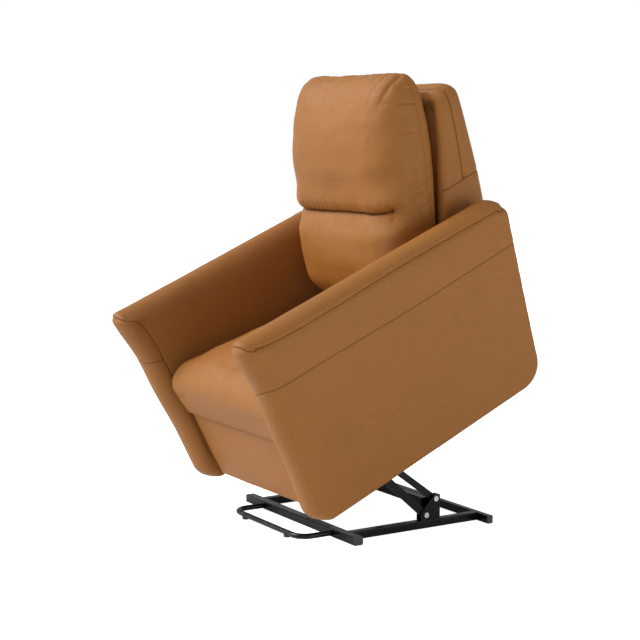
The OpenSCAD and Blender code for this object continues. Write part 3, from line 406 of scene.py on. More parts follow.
def loft(rings):
    """Points and faces of a closed skin over rings of equal length, each end closed by a fan."""
    m, n = len(rings), len(rings[0])
    points = np.concatenate(rings + [rings[0].mean(0)[None], rings[-1].mean(0)[None]])
    faces = []
    for i in range(m - 1):
        for k in range(n):
            a, b = i * n + k, i * n + (k + 1) % n
            faces.append((a, b, b + n, a + n))
    for k in range(n):
        faces.append((m * n, (k + 1) % n, k))
        faces.append((m * n + 1, (m - 1) * n + k, (m - 1) * n + (k + 1) % n))
    return points, faces


def face_out(piece):
    work = bmesh.new()
    work.from_mesh(piece.data)
    bmesh.ops.recalc_face_normals(work, faces=work.faces)
    work.to_mesh(piece.data)
    work.free()
    piece.data.update()


def settle(piece):
    """Applies the piece's modifiers to its mesh."""
    graph = bpy.context.evaluated_depsgraph_get()
    mesh = bpy.data.meshes.new_from_object(piece.evaluated_get(graph), depsgraph=graph)
    old = piece.data
    piece.modifiers.clear()
    piece.data = mesh
    mesh.name = piece.name
    bpy.data.meshes.remove(old)


def even(piece, voxel):
    """Gives the piece a mesh of small even faces, voxel metres wide."""
    mod = piece.modifiers.new("Even", "REMESH")
    mod.mode = "VOXEL"
    mod.voxel_size = voxel
    settle(piece)


def divide(piece):
    mod = piece.modifiers.new("Finer", "SUBSURF")
    mod.levels = mod.render_levels = 1
    settle(piece)


def coords(piece):
    co = np.empty(len(piece.data.vertices) * 3, np.float32)
    piece.data.vertices.foreach_get("co", co)
    return co.reshape(-1, 3).astype(float) / MM


def set_coords(piece, co):
    piece.data.vertices.foreach_set("co", (co * MM).astype(np.float32).ravel())
    piece.data.update()


def normals(piece):
    no = np.empty(len(piece.data.vertices) * 3, np.float32)
    piece.data.vertices.foreach_get("normal", no)
    return no.reshape(-1, 3).astype(float)


def push(piece, amount):
    """Moves each point of the piece outwards by its own amount."""
    set_coords(piece, coords(piece) + normals(piece) * np.asarray(amount)[:, None])


def averaged(piece, values, rounds):
    """The values of the piece's points, drawn towards those of their neighbours in each round."""
    edges = np.empty(len(piece.data.edges) * 2, np.int32)
    piece.data.edges.foreach_get("vertices", edges)
    a, b = edges.reshape(-1, 2).T
    n = len(values)
    count = np.maximum(1, np.bincount(a, minlength=n) + np.bincount(b, minlength=n))
    for _ in range(rounds):
        mean = np.stack([
            np.bincount(a, values[b, k], n) + np.bincount(b, values[a, k], n) for k in range(3)
        ], axis=1) / count[:, None]
        values = values + (mean - values) * 0.5
    return values


def relax(piece, rounds):
    """Evens out the mesh by moving each point towards the middle of its neighbours."""
    set_coords(piece, averaged(piece, coords(piece), rounds))


def moulded(name, rings, voxel):
    """A new piece over the rings, with a mesh of small even faces."""
    piece = add_object(name, *loft(rings))
    face_out(piece)
    even(piece, voxel)
    relax(piece, 3)
    return piece


def ripple(co, waves, seed):
    """Soft unevenness between about -1 and 1, from waves between two lengths in millimetres."""
    count = 18
    rng = np.random.default_rng(seed)
    total = np.zeros(len(co))
    for _ in range(count):
        way = rng.normal(size=3)
        way /= np.linalg.norm(way)
        total += np.sin(co @ way * 2 * math.pi / rng.uniform(*waves) + rng.uniform(0, 6.28))
    return total / math.sqrt(count)


def surface(piece):
    """The piece's mesh as a tree for finding points on it, in millimetres."""
    co = coords(piece)
    return BVHTree.FromPolygons([Vector(p) for p in co], [tuple(f.vertices) for f in piece.data.polygons])


def shoot(tree, points, way):
    """The places where lines through the points first meet the piece, coming along way from outside it."""
    way = Vector(way)
    found = []
    for p in points:
        at, _, _, _ = tree.ray_cast(Vector(p) - way * FAR, way)
        if at is not None:
            found.append(tuple(at))
    return np.array(found)


def lay(tree, points, pitch=2.0):
    """A path with even pitch on the piece: its points, the outward directions and the ways across it."""
    p = spaced(points, pitch)
    on, out = [], []
    for q in p:
        at, no, _, _ = tree.find_nearest(Vector(q))
        on.append(tuple(at))
        out.append(tuple(no))
    on, out = np.array(on), np.array(out)
    for _ in range(3):
        out[1:-1] = 0.5 * out[1:-1] + 0.25 * (out[:-2] + out[2:])
    out /= np.linalg.norm(out, axis=1)[:, None]
    along = np.gradient(on, axis=0)
    along /= np.maximum(1e-9, np.linalg.norm(along, axis=1))[:, None]
    return on, out, np.cross(along, out)


class Seams:
    """The sewn lines of one piece, laid on its mesh."""

    def __init__(self, piece):
        self.piece = piece
        self.tree = surface(piece)
        self.lines = []

    def add(self, points, stitched=True, weight=1.0):
        """Lays a seam along the points. weight is its depth as a share of the usual one."""
        if len(points) > 3:
            self.lines.append((*lay(self.tree, points), stitched, weight))

    def shot(self, points, way, stitched=True, weight=1.0):
        """Lays a seam where lines through the points along way first meet the piece."""
        self.add(shoot(self.tree, points, way), stitched, weight)

    def near(self):
        """How far every point of the mesh is to one side or the other of the nearest seam, and its weight."""
        co = coords(self.piece)
        on = np.concatenate([line[0] for line in self.lines])
        across = np.concatenate([line[2] for line in self.lines])
        weights = np.concatenate([np.full(len(line[0]), float(line[4])) for line in self.lines])
        tree = KDTree(len(on))
        for i, p in enumerate(on):
            tree.insert(p, i)
        tree.balance()
        low, high = on.min(0) - SEAM_REACH, on.max(0) + SEAM_REACH
        signed, weight = np.full(len(co), SEAM_REACH), np.ones(len(co))
        for i in np.nonzero(((co > low) & (co < high)).all(1))[0]:
            _, k, d = tree.find(co[i])
            if d < SEAM_REACH:
                side = np.dot(co[i] - on[k], across[k])
                # past the end of a seam the distance along it counts too
                signed[i] = math.copysign(min(d, abs(side) + max(0, d - 4)), side)
                weight[i] = weights[k]
        return signed, weight

    def press(self, share=1.0):
        """Draws the mesh in along the seams, by a share of the usual depth, and swells it beside them."""
        s = settings("leather")
        signed, weight = self.near()
        d, width = np.abs(signed), s.seam_width / MM
        depth = s.seam_depth / MM * share * weight
        move = -depth * bell(d, width) + 0.35 * depth * bell(d - 2.2 * width, 1.1 * width)
        move[d >= SEAM_REACH - 0.1] = 0
        push(self.piece, move)
        note(self.piece, "seam_side", np.clip(signed / 10, -1, 1))
        note(self.piece, "seam_near", np.clip(1 - d / 10, 0, 1))
        note(self.piece, "seam_weight", np.clip(weight, 0, 1))


def note(piece, name, values):
    """Keeps a number for each point of the mesh, which the material reads."""
    kept = piece.data.attributes.get(name) or piece.data.attributes.new(name, "FLOAT", "POINT")
    kept.data.foreach_set("value", np.asarray(values, np.float32))


def valley(co, start, end, depth, width, axes=(0, 2)):
    """Depth at each point of a crease that runs from start to end and fades towards its end."""
    a, b = np.asarray(start, float), np.asarray(end, float)
    p = co[:, list(axes)] - a
    run = b - a
    size = np.linalg.norm(run)
    f = p @ run / size**2
    off = np.abs(p[:, 0] * run[1] - p[:, 1] * run[0]) / size
    fade = smooth((f + 0.12) / 0.2) * (1 - smooth((f - 0.35) / 0.75))
    return depth * fade * bell(off, width * (0.7 + 0.9 * np.clip(f, 0, 1)))


def swell(piece, fixed, looser):
    """Fills the piece like a cushion with the cloth tool.

    fixed is 1 where the leather is held and 0 where it is free. looser is how much too large the leather is
    cut, as a share of its size.
    """
    pad = settings("padding")
    before = coords(piece)
    held = piece.vertex_groups.new(name="held")
    for level in np.unique(np.round(fixed, 1)):
        if level > 0:
            held.add(np.nonzero(np.round(fixed, 1) == level)[0].tolist(), float(level), "REPLACE")
    mod = piece.modifiers.new("Filling", "CLOTH")
    cloth = mod.settings
    cloth.quality = 5
    cloth.mass = 0.3
    cloth.tension_stiffness = cloth.compression_stiffness = 22
    cloth.shear_stiffness = 8
    cloth.bending_stiffness = 2.5
    cloth.use_pressure = True
    cloth.uniform_pressure_force = pad.pressure
    cloth.effector_weights.gravity = 0
    cloth.shrink_min = cloth.shrink_max = -looser
    cloth.vertex_group_mass = "held"
    mod.point_cache.frame_start = 1
    mod.point_cache.frame_end = pad.frames
    scene = bpy.context.scene
    for f in range(1, pad.frames + 1):
        scene.frame_set(f)
    settle(piece)
    scene.frame_set(1)
    piece.vertex_groups.clear()
    move = coords(piece) - before
    # the padding under the leather holds back the swelling, and evens out most of the small creases
    soft = averaged(piece, move, 70)
    move = SWELL_SHARE * soft + CREASE_SHARE * (move - soft)
    far = np.linalg.norm(move, axis=1)
    print(f"{piece.name}: swelled {far.mean():.1f} mm on average, {far.max():.1f} mm at most")
    move *= np.minimum(1, pad.cap / MM / np.maximum(far, 1e-6))[:, None]
    set_coords(piece, before + move)


def shade_smooth(piece):
    piece.data.polygons.foreach_set("use_smooth", np.ones(len(piece.data.polygons), bool))
    piece.data.update()


# ---------------------------------------------------------------- finishes


class Nodes:
    """Short ways to add and join the nodes of a material or a node group."""

    def __init__(self, tree):
        self.tree = tree
        tree.nodes.clear()

    def add(self, kind, inputs=(), **options):
        node = self.tree.nodes.new("ShaderNode" + kind)
        for key, value in options.items():
            setattr(node, key, value)
        self.feed(node, inputs)
        return node

    def feed(self, node, inputs):
        """Links or sets inputs of the node, given by name or number."""
        for key, value in dict(inputs).items():
            if isinstance(value, bpy.types.NodeSocket):
                self.tree.links.new(value, node.inputs[key])
            else:
                node.inputs[key].default_value = value

    def group(self, tree, inputs):
        """Places a node group and returns its outputs."""
        return self.add("Group", inputs, node_tree=tree).outputs

    def math(self, kind, a, b=0.0, clamp=False):
        return self.add("Math", {0: a, 1: b}, operation=kind, use_clamp=clamp).outputs[0]

    def times(self, a, b):
        return self.math("MULTIPLY", a, b)

    def sum(self, a, b):
        return self.math("ADD", a, b)

    def less(self, a, b):
        return self.math("SUBTRACT", a, b)

    def span(self, value, low, high, to_low=0.0, to_high=1.0, smoothly=True):
        """The value moved from one range to another, and kept within it."""
        inputs = {"Value": value, "From Min": low, "From Max": high, "To Min": to_low, "To Max": to_high}
        kind = "SMOOTHSTEP" if smoothly else "LINEAR"
        return self.add("MapRange", inputs, interpolation_type=kind).outputs["Result"]

    def mix(self, share, a, b):
        """A colour between two colours."""
        share_in, first_in, second_in = 0, 6, 7  # the colour sockets of the node
        return self.add("Mix", {share_in: share, first_in: a, second_in: b}, data_type="RGBA").outputs[2]

    def noise(self, place, scale, detail=3.0, rough=0.55, distortion=0.0):
        inputs = {"Vector": place, "Scale": scale, "Detail": detail, "Roughness": rough}
        return self.add("TexNoise", {**inputs, "Distortion": distortion}).outputs["Fac"]

    def bump(self, height, strength, depth):
        return self.add("Bump", {"Height": height, "Strength": strength, "Distance": depth}).outputs[0]


def group(name, inputs, outputs):
    """A new shader node group: its Nodes, the sockets that it is given and the ones that it puts out."""
    tree = bpy.data.node_groups.new(name, "ShaderNodeTree")
    for label, kind, value in inputs:
        socket = tree.interface.new_socket(label, in_out="INPUT", socket_type="NodeSocket" + kind)
        if value is not None:
            socket.default_value = value
    for label, kind in outputs:
        tree.interface.new_socket(label, in_out="OUTPUT", socket_type="NodeSocket" + kind)
    kit = Nodes(tree)
    return kit, tree.nodes.new("NodeGroupInput").outputs, tree.nodes.new("NodeGroupOutput").inputs


def mottle_group():
    """Soft colour variation: two tones drifting over a base colour."""
    name = "Mottle"
    if name in bpy.data.node_groups:
        return bpy.data.node_groups[name]
    kit, given, out = group(name, [
        ("Vector", "Vector", None), ("Base", "Color", (0.5, 0.5, 0.5, 1)),
        ("Pale", "Color", (0.7, 0.7, 0.7, 1)), ("Deep", "Color", (0.2, 0.2, 0.2, 1)),
        ("Scale", "Float", 6.0), ("Amount", "Float", 0.5),
    ], [("Color", "Color"), ("Mask", "Float")])
    broad = kit.noise(given["Vector"], given["Scale"], 3.0, 0.6, 0.4)
    close = kit.noise(given["Vector"], kit.times(given["Scale"], 9.0), 4.0, 0.6)
    both = kit.sum(kit.times(broad, 0.65), kit.times(close, 0.35))
    pale = kit.times(kit.span(both, 0.5, 0.68), given["Amount"])
    deep = kit.times(kit.span(both, 0.5, 0.34), given["Amount"])
    tone = kit.mix(deep, kit.mix(pale, given["Base"], given["Pale"]), given["Deep"])
    kit.tree.links.new(tone, out["Color"])
    kit.tree.links.new(both, out["Mask"])
    return kit.tree


def pebble_group():
    """Grain of small pebbles with fine creases between them."""
    name = "Pebble"
    if name in bpy.data.node_groups:
        return bpy.data.node_groups[name]
    kit, given, out = group(name, [("Vector", "Vector", None), ("Size", "Float", 0.0015)],
                            [("Height", "Float"), ("Creases", "Float")])
    scale = kit.math("DIVIDE", 1.0, given["Size"])
    # the rows of pebbles are bent by up to a millimetre
    drift = kit.add("TexNoise", {"Vector": given["Vector"], "Scale": 260.0, "Detail": 2.0}).outputs["Color"]
    bend = kit.add("VectorMath", {0: drift, "Scale": 0.0009}, operation="SCALE").outputs[0]
    place = kit.add("VectorMath", {0: given["Vector"], 1: bend}, operation="ADD").outputs[0]
    cells = {"Vector": place, "Scale": scale}
    edges = kit.add("TexVoronoi", cells, feature="DISTANCE_TO_EDGE").outputs["Distance"]
    domes = kit.add("TexVoronoi", {**cells, "Smoothness": 0.6}, feature="SMOOTH_F1").outputs["Distance"]
    crease = kit.span(edges, 0.0, 0.16, 1.0, 0.0)
    fine = kit.noise(given["Vector"], kit.times(scale, 2.6), 2.0)
    height = kit.less(kit.sum(kit.times(domes, -0.55), kit.times(fine, 0.22)), kit.times(crease, 0.4))
    kit.tree.links.new(height, out["Height"])
    kit.tree.links.new(crease, out["Creases"])
    return kit.tree


def scuff_group():
    """Wear of a hard finish: fine scratches, dust and slight unevenness."""
    name = "Scuff"
    if name in bpy.data.node_groups:
        return bpy.data.node_groups[name]
    kit, given, out = group(name, [("Vector", "Vector", None), ("Scale", "Float", 40.0)],
                            [("Scratches", "Float"), ("Dust", "Float"), ("Height", "Float")])
    drawn_out = {"Vector": given["Vector"], "Rotation": (0.5, 0.3, 0.8), "Scale": (0.35, 9.0, 5.0)}
    lines = kit.noise(kit.add("Mapping", drawn_out).outputs[0], given["Scale"], 5.0, 0.7)
    scratch = kit.times(kit.span(lines, 0.64, 0.72), kit.span(kit.noise(given["Vector"], 14.0), 0.45, 0.7))
    dust = kit.span(kit.noise(given["Vector"], kit.times(given["Scale"], 0.5), 6.0, 0.65), 0.42, 0.75)
    peel = kit.noise(given["Vector"], kit.times(given["Scale"], 22.0), 2.0, 0.5)
    kit.tree.links.new(scratch, out["Scratches"])
    kit.tree.links.new(dust, out["Dust"])
    kit.tree.links.new(kit.less(kit.times(peel, 0.4), kit.times(scratch, 0.6)), out["Height"])
    return kit.tree


def start_material(name, constants):
    """A material with a Principled shader, with its Nodes, the shader and the object's own coordinates."""
    mat = bpy.data.materials.new(name)
    mat.use_nodes = True
    kit = Nodes(mat.node_tree)
    shader = kit.add("BsdfPrincipled", constants)
    kit.add("OutputMaterial", {"Surface": shader.outputs[0]})
    return mat, kit, shader, kit.add("TexCoord").outputs["Object"]


def tint(value, share=1.0, lift=0.0):
    """A colour with its alpha, made darker or paler by a share and lifted by an amount."""
    return (*(min(1, c * share + lift) for c in value), 1.0)


def leather():
    """Soft leather: pebble grain, drifting colour, darker seam lines with painted shade beside them, painted
    shade in the crease and recesses, a soft gloss.
    """
    name = "Leather"
    if name in bpy.data.materials:
        return bpy.data.materials[name]
    s = settings("leather")
    mat, kit, shader, place = start_material(name, {"Coat Weight": 0.03, "Coat Roughness": 0.3})
    base, pale, deep = tint(s.base), tint(s.worn), tint(s.deep)
    tones = {"Base": base, "Pale": pale, "Deep": deep}
    mottle = kit.group(mottle_group(), {"Vector": place, **tones, "Scale": 7.0, "Amount": 0.06})
    pebble = kit.group(pebble_group(), {"Vector": place, "Size": s.grain})
    # seam_side is 0 on a seam and 1 or -1 at 10 mm from it, and seam_near is 1 on it and 0 at 10 mm
    side, near, weight, fold = (kit.add("Attribute", attribute_name=kept).outputs["Fac"]
                                for kept in ("seam_side", "seam_near", "seam_weight", "fold"))
    line = kit.times(kit.span(kit.math("ABSOLUTE", side), 0.02, 0.15, 1.0, 0.0), kit.span(near, 0.3, 0.7))
    line = kit.times(line, weight)
    shadow = kit.times(kit.span(near, 0.45, 1.0), kit.times(weight, 0.22))
    # dark paints the seam line's own dark joint, and painted shade beside the seams, in the crease and in the
    # recesses
    dark = kit.math("MAXIMUM", kit.times(line, 0.85), kit.math("MAXIMUM", shadow, fold), clamp=True)
    creased = kit.mix(kit.times(pebble["Creases"], 0.30), mottle["Color"], deep)
    gloss = kit.sum(kit.sum(0.35, kit.times(mottle["Mask"], 0.10)), kit.times(pebble["Creases"], 0.12))
    crumple = kit.noise(place, 170.0, 3.0, 0.6, 0.3)
    height = kit.sum(kit.times(pebble["Height"], 0.5), kit.times(crumple, 0.55))
    kit.feed(shader, {
        "Base Color": kit.mix(dark, creased, deep),
        "Specular IOR Level": kit.less(0.34, kit.times(dark, 0.28)),
        "Roughness": kit.sum(gloss, kit.times(dark, 0.2)),
        "Normal": kit.bump(kit.less(height, kit.times(line, 0.9)), 0.8, 0.0022),
    })
    return mat


def thread():
    """Dull twisted sewing thread, darker than the leather."""
    name = "Thread"
    if name in bpy.data.materials:
        return bpy.data.materials[name]
    base = settings("leather").base
    mat, kit, shader, place = start_material(name, {"Specular IOR Level": 0.12})
    twist = kit.add("TexWave", {"Vector": place, "Scale": 420.0, "Distortion": 1.5}, wave_type="BANDS",
                    bands_direction="DIAGONAL").outputs["Fac"]
    kit.feed(shader, {
        "Base Color": kit.mix(twist, tint(base, 0.35), tint(base, 0.62)),
        "Roughness": kit.span(twist, 0.0, 1.0, 0.75, 0.6),
        "Normal": kit.bump(twist, 0.4, 0.0002),
    })
    return mat


def hard(name, base, rough, dust, scratched, grain, metallic=0.0, scale=40.0, level=0.5, edges=0.35):
    """A paint, metal or plastic with worn edges, scratches, dust and a slightly uneven surface."""
    if name in bpy.data.materials:
        return bpy.data.materials[name]
    mat, kit, shader, place = start_material(name, {"Metallic": metallic, "Specular IOR Level": level})
    scuff = kit.group(scuff_group(), {"Vector": place, "Scale": scale})
    tones = {"Base": tint(base), "Pale": tint(base, 1.25, 0.004), "Deep": tint(base, 0.75)}
    mottle = kit.group(mottle_group(), {"Vector": place, **tones, "Scale": 11.0, "Amount": 0.6})
    edge = kit.span(kit.add("NewGeometry").outputs["Pointiness"], 0.52, 0.60)
    worn = kit.math("MAXIMUM", kit.times(edge, edges), kit.times(scuff["Scratches"], scratched), clamp=True)
    dusty = kit.mix(kit.times(scuff["Dust"], dust), mottle["Color"], tint(base, 0.5, 0.12))
    gloss = kit.sum(rough, kit.times(scuff["Dust"], 0.14))
    kit.feed(shader, {
        "Base Color": kit.mix(worn, dusty, tint(base, 1.5, 0.10)),
        "Roughness": kit.sum(gloss, kit.times(worn, 0.12)),
        "Normal": kit.bump(scuff["Height"], grain, 0.0006),
    })
    return mat


def boards():
    """Plain plywood: long grain, small fibres and a few darker streaks."""
    name = "Boards"
    if name in bpy.data.materials:
        return bpy.data.materials[name]
    base = settings("finish").wood
    mat, kit, shader, place = start_material(name, {"Specular IOR Level": 0.3})
    # the grain runs along the chair, which is tipped
    tipped = {"Vector": place, "Rotation": (-TIP, 0, 0), "Scale": (1.2, 9.0, 9.0)}
    level = kit.add("Mapping", tipped).outputs[0]
    waves = {"Vector": level, "Scale": 3.2, "Distortion": 5.0, "Detail": 3.0, "Detail Scale": 1.4}
    bands = kit.add("TexWave", waves, wave_type="BANDS", bands_direction="Z").outputs["Fac"]
    narrow = kit.add("Mapping", {"Vector": level, "Scale": (1.0, 14.0, 14.0)}).outputs[0]
    fibres = kit.noise(narrow, 9.0, 6.0, 0.7)
    tone = kit.mix(kit.span(bands, 0.2, 0.9), tint(base), tint(base, 0.72))
    kit.feed(shader, {
        "Base Color": kit.mix(kit.times(kit.span(fibres, 0.5, 0.75), 0.5), tone, tint(base, 0.55)),
        "Roughness": kit.span(fibres, 0.2, 0.8, 0.6, 0.82),
        "Normal": kit.bump(fibres, 0.35, 0.0006),
    })
    return mat


def floor_finish():
    """Pale floor that glows where the camera sees it, so that the lights leave next to no shadow on it."""
    tone = settings("stage").floor
    mat, kit, shader, place = start_material("Floor", {"Specular IOR Level": 0.15})
    seen = kit.add("LightPath").outputs["Is Camera Ray"]
    drift = kit.noise(place, 0.8, 2.0)
    kit.feed(shader, {
        "Base Color": kit.mix(drift, tint(tone, 0.985), tint(tone)),
        "Roughness": kit.span(drift, 0.0, 1.0, 0.8, 0.9),
        "Emission Color": kit.mix(drift, (0.97, 0.97, 0.97, 1), (1, 1, 1, 1)),
        "Emission Strength": kit.span(seen, 0.0, 1.0, 0.05, 0.95, smoothly=False),
    })
    return mat


# ---------------------------------------------------------------- sewing


def stitch_rows(name, seams, body):
    """Thread laid in short stitches along the stitched seams, on the finished mesh."""
    s = settings("leather")
    pitch, size, thick = s.stitch_pitch / MM, s.stitch_length / MM, s.stitch_width / MM
    tree = surface(seams.piece)
    shape = [(-0.5, 0.35), (-0.34, 1.0), (0.34, 1.0), (0.5, 0.35)]  # place along a stitch and thickness there
    sides = 5
    turn = np.arange(sides) * 2 * math.pi / sides
    points, faces = [], []
    for on, _, _, stitched, _ in seams.lines:
        if not stitched:
            continue
        run = np.r_[0, np.cumsum(np.linalg.norm(np.diff(on, axis=0), axis=1))]
        for at in np.arange(pitch / 2, run[-1], pitch):
            behind, mid, ahead = (np.array([np.interp(place, run, on[:, k]) for k in range(3)])
                                  for place in (max(0, at - 2), at, min(run[-1], at + 2)))
            skin, out, _, _ = tree.find_nearest(Vector(mid))
            mid, up = np.array(skin), np.array(out)
            way = ahead - behind
            way -= up * (way @ up)
            way /= max(1e-9, np.linalg.norm(way))
            side = np.cross(way, up)
            first = len(points)
            for along, wide in shape:
                centre = mid + way * along * size + up * (0.12 - 0.35 * (abs(along) > 0.4)) * thick
                r = thick / 2 * wide
                for t in turn:
                    points.append(centre + side * math.cos(t) * r + up * math.sin(t) * r)
            for ring in range(len(shape) - 1):
                for j in range(sides):
                    a, b = first + ring * sides + j, first + ring * sides + (j + 1) % sides
                    faces.append((a, a + sides, b + sides, b))
            faces.append([first + j for j in range(sides)])
            faces.append([first + (len(shape) - 1) * sides + j for j in reversed(range(sides))])
    piece = add_object(name, points, faces)
    face_out(piece)
    cover(piece, body, thread())
    return piece


def cover(piece, body, material):
    """Raises a finished piece to the lifted pose, gives it its material and lets it ride on a body."""
    piece.data.transform(LIFTED)
    shade_smooth(piece)
    piece.data.materials.clear()
    piece.data.materials.append(material)
    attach(piece, body)


def dress(piece, body, node):
    """Gives a padded piece its leather and puts it in the place of a node of the frame."""
    cover(piece, body, leather())
    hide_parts(node)


def mirrored(piece, name):
    """A copy of the piece on the chair's other side."""
    mesh = piece.data.copy()
    mesh.name = name
    mesh.transform(Matrix.Scale(-1, 4, (1, 0, 0)))
    mesh.flip_normals()
    copy = bpy.data.objects.new(name, mesh)
    bpy.context.scene.collection.objects.link(copy)
    return copy


# ---------------------------------------------------------------- pieces


def plump_arm(arm):
    """Swells the roll and the flat sides, and draws the front and rear edges in under the roll."""
    co, no = coords(arm), normals(arm)
    outside = smooth((no[:, 0] + 0.8) / 0.7)
    above = co[:, 2] - roll_seam_z(co[:, 1])
    ahead = co[:, 1] - arm_front_at(co[:, 2])
    rim = np.minimum.reduce([ahead, ARM_REAR - 20 - co[:, 1], co[:, 2] - ARM_BOTTOM])
    flat = smooth(np.abs(no[:, 0]) * 1.4 - 0.35) * smooth(rim / 110)
    move = 3.2 * smooth((above + 2) / 9) * (1 - 0.6 * smooth((above - 14) / 30)) * outside
    move += 2.6 * flat * smooth(-above / 60) + ripple(co, (110, 320), 3) * 0.55 * (0.4 + flat)
    move -= 2.0 * bell(above + 7, 9) * smooth(1 - np.abs(no[:, 0]) * 1.6) * smooth((70 - rim) / 30)
    push(arm, move)


def round_rear(seam, z):
    """A path from the end of a side seam round the arm's rear edge, at a height."""
    outline = arm_outline()
    rear = outline[np.argmin(np.abs(outline[:, 1] - z) + 900 * (outline[:, 0] < 0))][None]
    return np.concatenate([seam[-2:]] + [arm_skin(rear, 1, phi) for phi in (70, 50, 30, 10)]
                          + [arm_skin(rear, -1, phi) for phi in (10, 30, 50, 70, 88)])


def arm_seams(arm):
    """The seam under the roll, the seam of the band below it, and the one that closes the underside."""
    seams = Seams(arm)
    roll = [(0, y, z) for y, z in rounded(ROLL_SEAM, 3) if -256 < y < ARM_REAR - 36]
    roll = shoot(seams.tree, roll, (-1, 0, 0))
    inner = shoot(seams.tree, [(0, y, z) for y, z in rounded(INNER_SEAM, 3)], (1, 0, 0))
    seams.add(np.concatenate([inner[::-1], round_front(ROLL_ROUND_FRONT)[::-1], roll]), weight=0.8)
    seams.add(round_rear(roll, ROLL_REAR), weight=0.8)
    band = [(0, y, z) for y, z in rounded(BAND_SEAM, 3) if -234 < y < ARM_REAR - 40]
    band = shoot(seams.tree, band, (-1, 0, 0))
    inside = shoot(seams.tree, [(0, y, z) for y, z in BAND_INSIDE], (1, 0, 0))
    seams.add(np.concatenate([band[::-1], round_front(BAND_ROUND_FRONT), inside]), weight=0.6)
    seams.add(round_rear(band, BAND_REAR), weight=0.6)
    under = inner_at(ARM_BOTTOM) + UNDER_SEAM
    seams.shot([(under, y, 0) for y in np.arange(-180, 500, 4)], UP)
    return seams


class RECLINER_OT_arms(bpy.types.Operator):
    """Build both padded arms with their rolled tops, panels and seams"""

    bl_idname = "recliner.arms"
    bl_label = "Arms"

    def execute(self, context):
        outline = arm_outline()
        steps = [90, 78, 66, 54, 42, 30, 18, 6, 0]
        rings = [arm_skin(outline, -1, phi) for phi in steps]
        rings += [arm_skin(outline, 1, phi) for phi in steps[-2::-1]]
        arm = moulded("arm_left_padding", rings, settings("padding").voxel * 0.92)
        plump_arm(arm)
        seams = arm_seams(arm)
        seams.press()
        arm_right = mirrored(arm, "arm_right_padding")
        sewn = stitch_rows("arm_left_stitching", seams, "chair")
        dress(arm, "chair", "arm_left")
        dress(arm_right, "chair", "arm_right")
        other = mirrored(sewn, "arm_right_stitching")
        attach(other, "chair")
        return {"FINISHED"}


def seat_rings():
    """Rings of the seat cushion from side to side, crowned along the middle."""
    outline = seat_outline()
    steps = [90, 72, 54, 36, 18, 0]
    half = inner_at(outline[:, 1]) - SEAT_ROOM
    crown = 16 * np.maximum(0, np.sin(np.radians(outline[:, 2])))
    middle = [np.c_[f * (half - 40), outline[:, 0], outline[:, 1] + crown * (1 - f * f)]
              for f in (-0.85, -0.65, -0.4, -0.2, 0, 0.2, 0.4, 0.65, 0.85)]
    return ([seat_skin(outline, -1, phi) for phi in steps] + middle
            + [seat_skin(outline, 1, phi) for phi in steps[::-1]])


class RECLINER_OT_seat(bpy.types.Operator):
    """Build the seat cushion with its crowned top and rolled front"""

    bl_idname = "recliner.seat"
    bl_label = "Seat cushion"

    def execute(self, context):
        seat = moulded("seat_cushion_padding", seat_rings(), settings("padding").voxel)
        co, no = coords(seat), normals(seat)
        _, y, z = co.T
        free = smooth((no[:, 2] + 0.3) / 0.6) * smooth((SEAT_REAR - 30 - y) / 60) * smooth((z - 285) / 60)
        # the cut shape is smaller than the filled one, most of all on top
        set_coords(seat, co - no * (2 * free + 5 * free * smooth(no[:, 2] * 2 - 0.6))[:, None])
        swell(seat, 1 - free, looser=0.015)
        relax(seat, 1)
        divide(seat)
        co, no = coords(seat), normals(seat)
        crown = smooth(no[:, 2]) * smooth(np.abs(co[:, 0]) / 40)
        co = co + no * (ripple(co, (70, 210), 11) * 0.8 * (0.35 + crown))[:, None]
        for x, y, dx, dy in SEAT_FOLDS:
            co[:, 2] -= valley(co, (x, y), (x + dx, y + dy), 3.0, 9, (0, 1)) * smooth((no[:, 2] - 0.2) / 0.4)
        for x, z in SEAT_FRONT_FOLDS:
            co[:, 1] += valley(co, (x, z), (x * 0.72, z + 14), 2.4, 8) * smooth((-no[:, 1] - 0.2) / 0.4)
        co[:, 2] = np.maximum(co[:, 2], DECK + 0.3)
        limit = inner_at(co[:, 2]) - 3.2
        co[:, 0] = np.clip(co[:, 0], -limit, limit)
        set_coords(seat, co)
        seams = Seams(seat)
        for side in (-1, 1):
            x = side * (inner_at(DECK + 60) - 14)
            seams.shot([(x, y, 0) for y in np.arange(-150, 260, 4)], DOWN, stitched=False)
        seams.press(2 / 3)
        dress(seat, "chair", "seat_cushion")
        return {"FINISHED"}


